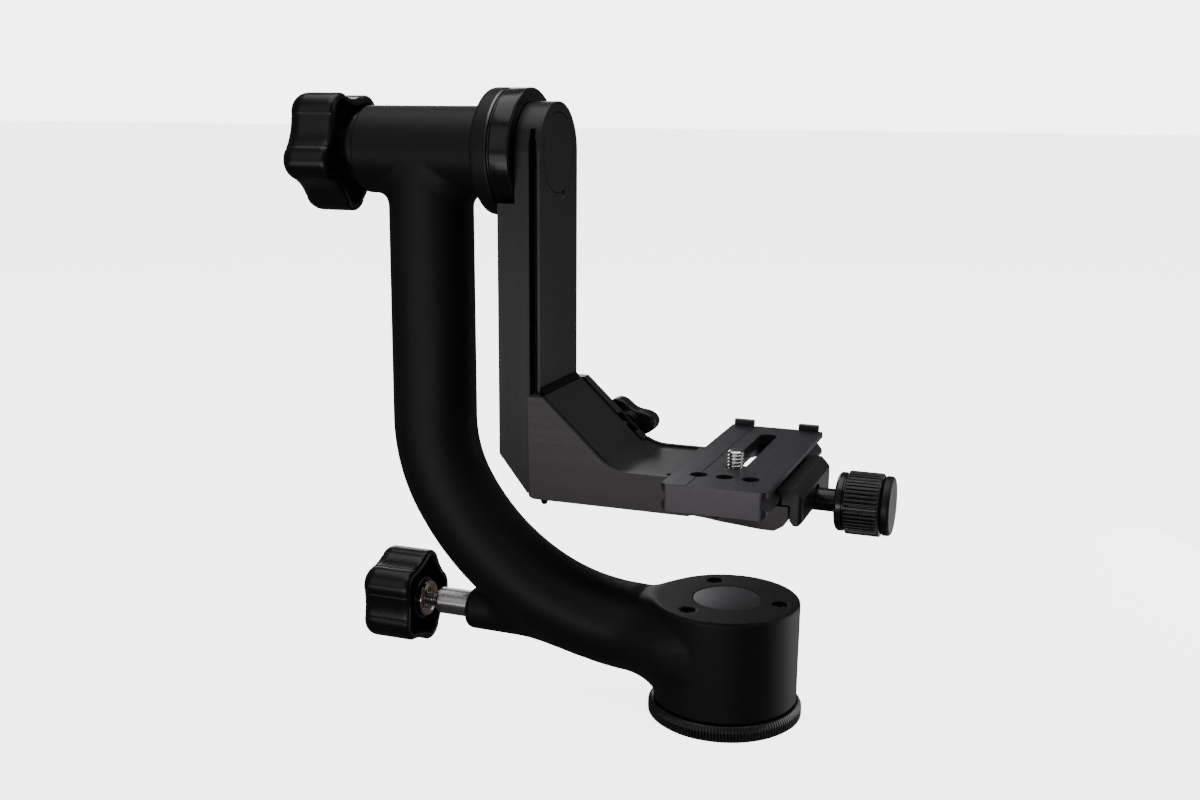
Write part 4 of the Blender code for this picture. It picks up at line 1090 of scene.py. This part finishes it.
top_curve = []
for i in range(13):
    t = i / 12.0
    a = np.array([-43.6, 103.3])
    b = np.array([-38.9, 99.4])
    c = np.array([-32.5, 99.4])
    q = (1 - t) ** 2 * a + 2 * t * (1 - t) * b + t * t * c
    top_curve.append((float(q[0]), float(q[1])))
br_xz = [(-73.0, 87.4, 0.6), (-72.4, 85.9, 0.6), (-70.8, 85.2, 0.6), (-10.0, 85.2), (4.0, 84.2), (23.5, 84.2, 1.2), (27.0, 86.4, 1.2),
         (28.3, 89.6), (28.3, 93.5), (-13.05, 93.5), (-13.05, 96.3), (-11.0, 98.75), (-11.0, 99.1), (-11.4, 99.4)]
br_xz = soft(br_xz) + list(reversed(top_curve)) + [(-67.0, 125.0), (-73.0, 125.0)]
plan = [(-80.0, -24.5), (-9.6, -24.5), (-8.4, -22.2), (-2.0, -22.6), (5.0, -23.6), (11.5, -25.2), (16.5, -26.5), (20.0, -27.0), (35.0, -27.0)]
plan = plan + [(x, -y) for x, y in reversed(plan)]
chan = [(-19.0, 98.6)] + [(x - 0.25, z - 0.85) for x, z in reversed(top_curve)] + [(-68.6, 125.4), (-68.6, 130.0), (-19.0, 130.0)]
chan_line = [(x - 0.25, z - 0.85) for x, z in reversed(top_curve)] + [(-68.6, 125.4)]
groove = [(-14.0, 97.4)] + [(x - 0.65, z - 1.15) for x, z in chan_line[:-1]] + [(-69.4, 124.0), (-69.4, 130.0), (-14.0, 130.0)]
relief = [(-69.2, 118.5), (-69.2, 127.0), (-67.0, 127.0), (-68.0, 124.6)]
slot_xy = [(-69.8, -19.3), (-71.22, -19.3), (-74.32, -16.2), (-85.0, -16.2), (-85.0, 19.3), (-69.8, 19.3)]
# Outline of the near-black strip laid in the groove between cheek and web: painted shadow line.
shade_line_xz = [(-14.2, 98.5)] + [(x - 0.02, z - 0.05) for x, z in chan_line[:-1]] + [(-68.3, 125.0), (-69.2, 124.3)]
shade_line_xz += [(x - 0.6, z - 1.05) for x, z in reversed(chan_line[:-1])] + [(-14.2, 97.6)]
# Outline of the near-black band on the web's top edge against the rail face: painted shade band.
shade_band_xz = [(-69.65, 119.2), (-69.65, 127.5), (-67.95, 125.2), (-68.15, 124.5), (-69.0, 119.2)]
JX1 = -41.5
jaw_xz = [(-73.0, 90.0, 0.8), (-73.0, 125.0), (-67.0, 125.0), (-43.6, 103.3), (JX1, 101.75), (JX1, 90.0, 0.8)]
jaw_cut = [(-90.0, 89.7), (-90.0, 140.0), (JX1 + 0.3, 140.0), (JX1 + 0.3, 89.7)]
brk = boolean(prism_bm(br_xz, "Y", -30.0, 30.0), [
    (AND, prism_bm(plan, "Z", 70.0, 140.0)),
    (CUT, prism_bm(chan, "Y", -22.5, 22.5)),
    (CUT, prism_bm(groove, "Y", -22.5, -19.75)),
    (CUT, prism_bm(relief, "Y", -19.75, 18.0)),
    (CUT, prism_bm(slot_xy, "Z", 70.0, 140.0)),
    (CUT, prism_bm(jaw_cut, "Y", 19.0, 40.0)),
    (CUT, cyl_bm("Y", -4.0, 21.0, 2.7, (KX, KZ), 32)),
    (CUT, cyl_bm("X", 15.0, 35.0, 3.3, (0.0, 90.0), 40)),
    (CUT, cyl_bm("X", 15.0, 35.0, 1.9, (-16.0, 90.0), 28)),
    (CUT, cyl_bm("X", 15.0, 35.0, 1.9, (16.0, 90.0), 28))])
bevelled("bracket_body", brk, 0.22, M_BRKT, "platform", ["platform_bracket"])

# Near-black strip in the groove: painted shadow line between cheek and web.
bevelled("bracket_painted_shade_line", prism_bm(shade_line_xz, "Y", -22.46, -19.80), 0.08, M_PAINTED_SHADE, "platform", segments=2)
# Near-black band on the web's edge against the rail: painted shade, standing in for the dark shading on the rail face
# there.
bevelled("bracket_painted_shade_band", prism_bm(shade_band_xz, "Y", -19.7, 17.6), 0.12, M_PAINTED_SHADE, "platform", segments=2)

jaw_xy = [(-73.0, 24.5), (-73.0, 17.52), (-71.22, 19.3), (JX1, 19.3), (JX1, 24.5)]
rj = boolean(prism_bm(jaw_xy, "Z", 89.0, 130.0), [
    (AND, prism_bm(soft(jaw_xz), "Y", 10.0, 30.0)),
    (CUT, cyl_bm("Y", 10.0, 30.0, 2.8, (KX, KZ), 32)),
    (CUT, cyl_bm("Y", 17.0, 23.3, 6.3, (KX, KZ), 72))])
bevelled("rail_jaw_body", rj, 0.22, M_BRKT, "rail_clamp", ["rail_jaw"])
hs = [(0, -3.0), (2.0, -3.0), (2.4, -2.5)] + [(2.4, y) for y in steps(-2.4, 24.0, 130)] + [(2.4, 32.0), (0, 32.0)]
lathe("height_stud", hs, "Y", (KX, KZ), M_OXIDE, "height_lock", ["height_screw"], n=40, shape=helix(0.8, 0.42, 1.0, 2.35, 2.45, -2.3, 24.0))


def tri_grip():
    n = 216
    th = 2 * np.pi * np.arange(n) / n
    c = 0.5 + 0.5 * np.cos(3 * (th - math.radians(127.0)))
    r = 6.8 + 5.0 * c ** 1.25
    py, pz = r * np.cos(th), r * np.sin(th)
    ty, tz = np.roll(py, -1) - np.roll(py, 1), np.roll(pz, -1) - np.roll(pz, 1)
    ln = np.hypot(ty, tz)
    ny, nz = tz / ln, -ty / ln
    def lobe(y, v):
        return [np.array([KX + py[i] - ny[i] * v, y, KZ + pz[i] - nz[i] * v]) for i in range(n)]
    def rnd(y, rr):
        return [np.array([KX + rr * math.cos(t), y, KZ + rr * math.sin(t)]) for t in th]
    lp = [[np.array([KX, 32.4, KZ])], rnd(32.4, 2.7), rnd(25.1, 2.7), rnd(24.9, 2.9), rnd(24.9, 5.1), rnd(25.2, 5.4), rnd(27.3, 5.4), rnd(27.6, 5.7)]
    R = 1.2
    lp += [lobe(27.6, 1.35)]
    lp += [lobe(27.6 + R * (1 - math.cos(a)), R * (1 - math.sin(a))) for a in (math.pi / 2 * k / 5 for k in range(1, 6))]
    lp += [lobe(y, 0.0) for y in (30.0, 32.0, 34.0)]
    R = 1.8
    lp += [lobe(35.9 - R * (1 - math.sin(a)), R * (1 - math.cos(a))) for a in (math.pi / 2 * k / 6 for k in range(1, 7))]
    lp += [[p * np.array([1, 0, 1]) + np.array([0, 36.02, 0]) + (np.array([KX, 0, KZ]) - p * np.array([1, 0, 1])) * 0.45 for p in lobe(35.9, 1.8)],
           [np.array([KX, 36.1, KZ])]]
    v, f = skin(lp)
    return put("height_grip", v, f, M_PLAST, "height_lock", ["height_knob"], 40.0)


tri_grip()

# =====================================================================
# plate clamp
# =====================================================================
CZ = 90.0
CK = (0.0, CZ)
cj_xz = soft([(28.6, 88.0, 0.6), (30.0, 86.3, 0.5), (31.8, 86.3, 0.5), (33.2, 87.8, 0.6), (33.2, 96.2, 0.8), (29.6, 99.8, 0.5), (24.3, 99.8),
              (23.5, 99.1), (23.5, 98.8), (25.6, 96.35), (25.6, 93.8), (28.6, 93.8)])
jaw_plan = soft([(20.0, -25.5), (33.2, -25.5, 2.2), (33.2, 25.5, 2.2), (20.0, 25.5)], 6)
cj = boolean(prism_bm(cj_xz, "Y", -28.0, 28.0), [
    (AND, prism_bm(jaw_plan, "Z", 80.0, 110.0)),
    (CUT, cyl_bm("X", 20.0, 40.0, 3.3, CK, 40)),
    (CUT, cyl_bm("X", 30.6, 40.0, 5.6, CK, 72)),
    (CUT, cyl_bm("X", 20.0, 32.0, 1.9, (-16.0, CZ), 28)),
    (CUT, cyl_bm("X", 20.0, 32.0, 1.9, (16.0, CZ), 28))])
bevelled("clamp_jaw_body", cj, 0.20, M_JAW, "plate_clamp", ["clamp_jaw"])
for tag, y in (("a", -16.0), ("b", 16.0)):
    lathe("guide_pin_" + tag, fillet([(0, 18.0), (1.6, 18.0, 0.3), (1.6, 31.7, 0.3), (0, 31.7)], 3), "X", (y, CZ), M_STEEL, "plate_clamp",
          ["clamp_guide_pin_" + tag], n=40)
lathe("clamp_stud", fillet([(0, 17.6), (3.0, 17.6, 0.5), (3.0, 52.0, 0.2), (0, 52.0)], 3), "X", CK, M_STEEL, "clamp_lock", ["clamp_screw"], n=48)


def axial_knurl(th, r, h):
    if r < 11.0 or not (45.05 <= h <= 57.2):
        return np.full_like(th, r)
    ph = (th * 46 / (2 * np.pi)) % 1.0
    g = np.clip(1.45 - 3.2 * np.abs(ph - 0.5), 0.0, 1.0)
    g = g * g * (3 - 2 * g)
    end = min(1.0, (h - 45.0) / 0.5, (57.3 - h) / 0.7)
    return r - 0.62 * (1.0 - g) * end


ck = [(0, 52.4), (3.3, 52.4), (3.3, 30.9)] + fillet([(3.3, 30.9), (4.3, 30.9, 0.2), (4.3, 41.0, 0.3), (10.1, 41.2, 0.9), (10.9, 42.1, 0.3),
                                                  (10.9, 43.8, 0.1), (10.4, 44.0, 0.1), (10.4, 44.5, 0.1), (11.0, 44.9), (11.0, 44.95)], 3)[1:]
ck += [(11.7, 45.1), (11.7, 45.3), (11.7, 45.6), (11.7, 47.0), (11.7, 50.0), (11.7, 53.0), (11.7, 56.0), (11.7, 56.6), (11.7, 56.9), (11.6, 57.15)]
ck += fillet([(11.3, 57.3), (11.2, 57.5, 0.1), (10.4, 58.0, 0.2), (0, 58.0)], 3)
lathe("clamp_grip", ck, "X", CK, M_GLX, "clamp_lock", ["clamp_knob"], n=46 * 14, shape=axial_knurl, sharp=42.0)
lathe("clamp_end", fillet([(0, 58.3), (10.2, 58.3), (11.0, 58.5, 0.1), (11.0, 60.5, 0.35), (10.3, 61.25, 0.4), (9.4, 61.28), (0, 61.0)], 4), "X", CK, M_CAPX,
      "clamp_lock", ["clamp_knob_cap"], n=160)

# =====================================================================
# lens plate
# =====================================================================
PX = 6.3
xl, xr = PX - 19.0, PX + 19.0
pl_xz = [(xl + 0.4, 103.8), (xl, 103.4), (xl, 101.8), (xl + 2.5, 99.3), (xl, 96.5), (xl, 95.4), (xl + 1.6, 93.8),
         (xr - 1.6, 93.8), (xr, 95.4), (xr, 96.5), (xr - 2.5, 99.3), (xr, 101.8), (xr, 103.4), (xr - 0.4, 103.8)]
pl_xz = pl_xz[:-1] + [(xr - 0.4, 103.8)]


def oblong(w, y0, y1, xc, n=18):
    pts = [(xc + w * math.cos(math.pi * k / n), y1 - w + w * math.sin(math.pi * k / n)) for k in range(n + 1)]
    return pts + [(xc + w * math.cos(math.pi + math.pi * k / n), y0 + w + w * math.sin(math.pi + math.pi * k / n)) for k in range(n + 1)]


plate_plan = soft([(xl - 0.1, -48.0, 2.6), (xr + 0.1, -48.0, 3.4), (xr + 0.1, 49.0, 1.6), (xl - 0.1, 49.0, 1.6)], 8)
plate = boolean(prism_bm(pl_xz, "Y", -50.0, 51.0), [
    (AND, prism_bm(plate_plan, "Z", 80.0, 120.0)),
    (CUT, prism_bm(oblong(3.5, -20.5, 36.5, PX), "Z", 80.0, 120.0)),
    (CUT, prism_bm(oblong(7.2, -24.2, 40.2, PX), "Z", 80.0, 99.8)),
    (CUT, cyl_bm("Z", 80.0, 120.0, 3.15, (PX - 9.5, -32.3), 56)),
    (CUT, cyl_bm("Z", 80.0, 120.0, 3.15, (PX, -32.3), 56)),
    (CUT, cyl_bm("Z", 80.0, 120.0, 3.15, (PX + 9.5, -32.3), 56)),
    (CUT, cyl_bm("Z", 80.0, 99.0, 1.8, (PX, -42.0), 28)),
    (CUT, cyl_bm("Z", 80.0, 99.0, 1.8, (PX, 43.5), 28))])
mark = prism_bm([(-3.1 - 0.22, 104.2), (-3.1 - 0.22, 103.72), (-3.1, 103.55), (-3.1 + 0.22, 103.72), (-3.1 + 0.22, 104.2)], "Y", -60.0, 60.0)
bevelled("plate_body", plate, 0.20, M_PLATE, "plate", ["lens_plate"], after=[(CUT, mark)])
for tag, sx in (("a", -1.0), ("b", 1.0)):
    cx = PX + sx * 13.3
    st = prism_bm(soft([(46.6, 104.05), (48.6, 104.05), (48.6, 106.7, 0.7), (46.6, 106.7, 0.7)], 5), "X", cx - 4.1, cx + 4.1)
    bevelled("stop_bar_" + tag, st, 0.25, M_PLATE, "plate", ["plate_stop_" + tag])
for tag, yy in (("front", -42.0), ("rear", 43.5)):
    lathe("catch_screw_" + tag, fillet([(0, 92.6), (0.8, 92.6), (0.8, 92.0, 0.05), (1.8, 92.0, 0.25), (2.1, 92.4, 0.1), (2.1, 93.5, 0.1), (1.5, 93.5), (1.5, 98.2), (0, 98.2)], 3),
          "Z", (PX, yy), M_OXIDE, "plate", ["safety_screw_" + tag], n=48, shape=hexed(0.8))
lathe("retainer_ring", fillet([(3.4, 98.6), (6.6, 98.6, 0.1), (6.6, 99.4, 0.1), (3.4, 99.4)], 2), "Z", (PX, -16.8), M_OXIDE, "screw_carriage",
      ["screw_retainer"], n=72, closed=True)
hd = [(0, 95.4), (1.6, 95.4), (1.6, 94.2)] + fillet([(1.6, 94.2), (5.9, 94.2, 0.2), (6.3, 94.6, 0.2), (6.3, 98.3, 0.2), (2.75, 98.3)], 3)[1:]
hd += [(2.75, 99.4), (0, 99.4)]
lathe("screw_head", hd, "Z", (PX, -16.8), M_OXIDE, "screw", n=64)
cs = [(0, 99.5), (2.75, 99.5), (2.75, 101.2)] + [(3.1, z) for z in steps(101.4, 109.5, 110)] + [(2.55, 109.95), (2.2, 110.0), (0, 110.0)]
lathe("screw_threaded", cs, "Z", (PX, -16.8), M_STEELZ, "screw", ["camera_screw"], n=64, shape=helix(1.27, 0.58, 1.0, 3.05, 3.15, 101.3, 109.9))

# =====================================================================
# carried-over frame nodes get finished materials
# =====================================================================
KEEP = {"spindle_washer": M_STEELZ, "spindle_bolt": M_OXIDE, "bearing_carrier": M_INNER, "pan_bearing_lower": M_STEELZ, "pan_bearing_upper": M_STEELZ,
        "tilt_bearing_outer": M_STEEL, "tilt_spacer": M_INNER, "tilt_bearing_inner": M_STEEL, "pan_brake_shoe": M_BRASS, "tilt_axle": M_STEEL}
for node, mat in KEEP.items():
    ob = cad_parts[node]
    for sl in ob.material_slots:
        sl.material = mat

# =====================================================================
# floor, camera and light
# =====================================================================
def floor_material():
    k = Mat("pale_floor")
    v = k.mapped()
    n1 = k.noise(v, 3.0, 4.0)
    n2 = k.noise(v, 400.0, 3.0)
    col = k.mix(k.rng(n1, 0.3, 0.7, 0.0, 1.0), (0.88, 0.88, 0.88), (0.90, 0.90, 0.90))
    r = k.rng(n2, 0.3, 0.7, 0.70, 0.82)
    k.b.inputs["Emission Color"].default_value = (1.0, 1.0, 1.0, 1.0)
    k.b.inputs["Emission Strength"].default_value = 4.0
    return k.wire(col, r, k.bump(n2, 0.00005, 0.2), 0.0)


fm = bpy.data.meshes.new("floor")
S = 14.0
fm.from_pydata([(-S, -S, 0), (S, -S, 0), (S, S, 0), (-S, S, 0)], [], [(0, 1, 2, 3)])
floor = bpy.data.objects.new("floor", fm)
COL.objects.link(floor)
fm.materials.append(floor_material())
floor.visible_glossy = False
floor.visible_diffuse = False

# The studio: a pale backdrop, and for the light that falls on the object a dome that is dim low down and brighter overhead.
w = bpy.data.worlds.new("studio")
bpy.context.scene.world = w
w.use_nodes = True
wt = w.node_tree
bg = wt.nodes["Background"]
co = wt.nodes.new("ShaderNodeTexCoord")
sx = wt.nodes.new("ShaderNodeSeparateXYZ")
rp = wt.nodes.new("ShaderNodeValToRGB")
mr = wt.nodes.new("ShaderNodeMapRange")
lp = wt.nodes.new("ShaderNodeLightPath")
mx = wt.nodes.new("ShaderNodeMix")
mx.data_type = "RGBA"
wt.links.new(co.outputs["Generated"], sx.inputs["Vector"])
wt.links.new(sx.outputs["Z"], mr.inputs["Value"])
mr.inputs["From Min"].default_value = -1.0
mr.inputs["From Max"].default_value = 1.0
wt.links.new(mr.outputs["Result"], rp.inputs["Fac"])
DOME = [(0.0, 0.07), (0.45, 0.07), (0.52, 0.09), (0.60, 0.08), (1.0, 0.08)]
cr = rp.color_ramp
while len(cr.elements) > 1:
    cr.elements.remove(cr.elements[-1])
for i, (pos, val) in enumerate(DOME):
    e = cr.elements[0] if i == 0 else cr.elements.new(pos)
    e.position = pos
    e.color = (val * 0.96, val * 0.97, val * 1.04, 1.0)
wt.links.new(lp.outputs["Is Camera Ray"], mx.inputs["Factor"])
wt.links.new(rp.outputs["Color"], mx.inputs[6])
mx.inputs[7].default_value = (5.2, 5.2, 5.2, 1.0)
wt.links.new(mx.outputs[2], bg.inputs["Color"])
bg.inputs["Strength"].default_value = 1.0


def area(name, loc, target, size, power, color=(1, 1, 1), size_y=None):
    li = bpy.data.lights.new(name, "AREA")
    li.energy = power
    li.color = color
    li.size = size
    if size_y:
        li.shape = "RECTANGLE"
        li.size_y = size_y
    ob = bpy.data.objects.new(name, li)
    COL.objects.link(ob)
    ob.location = loc
    d = Vector(target) - Vector(loc)
    ob.rotation_euler = d.to_track_quat("-Z", "Y").to_euler()
    ob.visible_camera = False
    return ob


C = (-0.05, 0.0, 0.12)
area("overhead", (-0.06, 0.05, 1.20), C, 1.40, 11.0, (1.0, 1.0, 1.0), 1.20)
area("key", (-0.66, -1.02, 0.70), C, 0.62, 1.3, (1.0, 0.985, 0.96), 0.85)
area("side", (0.98, 0.58, 0.40), C, 0.40, 1.9, (0.95, 0.96, 1.0), 0.7)
area("back", (-0.74, 1.15, 0.50), C, 0.60, 2.6, (0.97, 0.97, 1.0), 0.40)
area("table", (-0.42, -1.15, 0.03), (-0.40, -1.00, 1.2), 1.30, 8.8, (1.0, 0.98, 0.95), 1.05)
area("fill", (-0.05, -0.42, 0.03), (-0.05, 0.0, 0.04), 0.50, 0.40, (1.0, 0.985, 0.97), 0.10)
area("table_right", (0.25, 0.20, 0.02), C, 0.30, 0.45, (0.97, 0.97, 1.0), 0.30)

cam_data = bpy.data.cameras.new("camera")
cam = bpy.data.objects.new("camera", cam_data)
COL.objects.link(cam)
yaw, pitch, roll = math.radians(20.35), math.radians(12.18), math.radians(-0.37)
fwd = Vector((-math.sin(yaw) * math.cos(pitch), math.cos(yaw) * math.cos(pitch), -math.sin(pitch)))
right = Vector((math.cos(yaw), math.sin(yaw), 0.0))
down = fwd.cross(right)
r2 = right * math.cos(roll) + down * math.sin(roll)
d2 = down * math.cos(roll) - right * math.sin(roll)
rot = Matrix((r2, -d2, -fwd)).transposed()
cam.matrix_world = Matrix.Translation(Vector((126.42, -483.52, 231.74)) * MM) @ rot.to_4x4()
cam_data.sensor_fit = "HORIZONTAL"
cam_data.sensor_width = 36.0
cam_data.lens = 1359.05 * 36.0 / 1200.0
cam_data.clip_start = 0.01
cam_data.clip_end = 60.0
bpy.context.scene.camera = cam

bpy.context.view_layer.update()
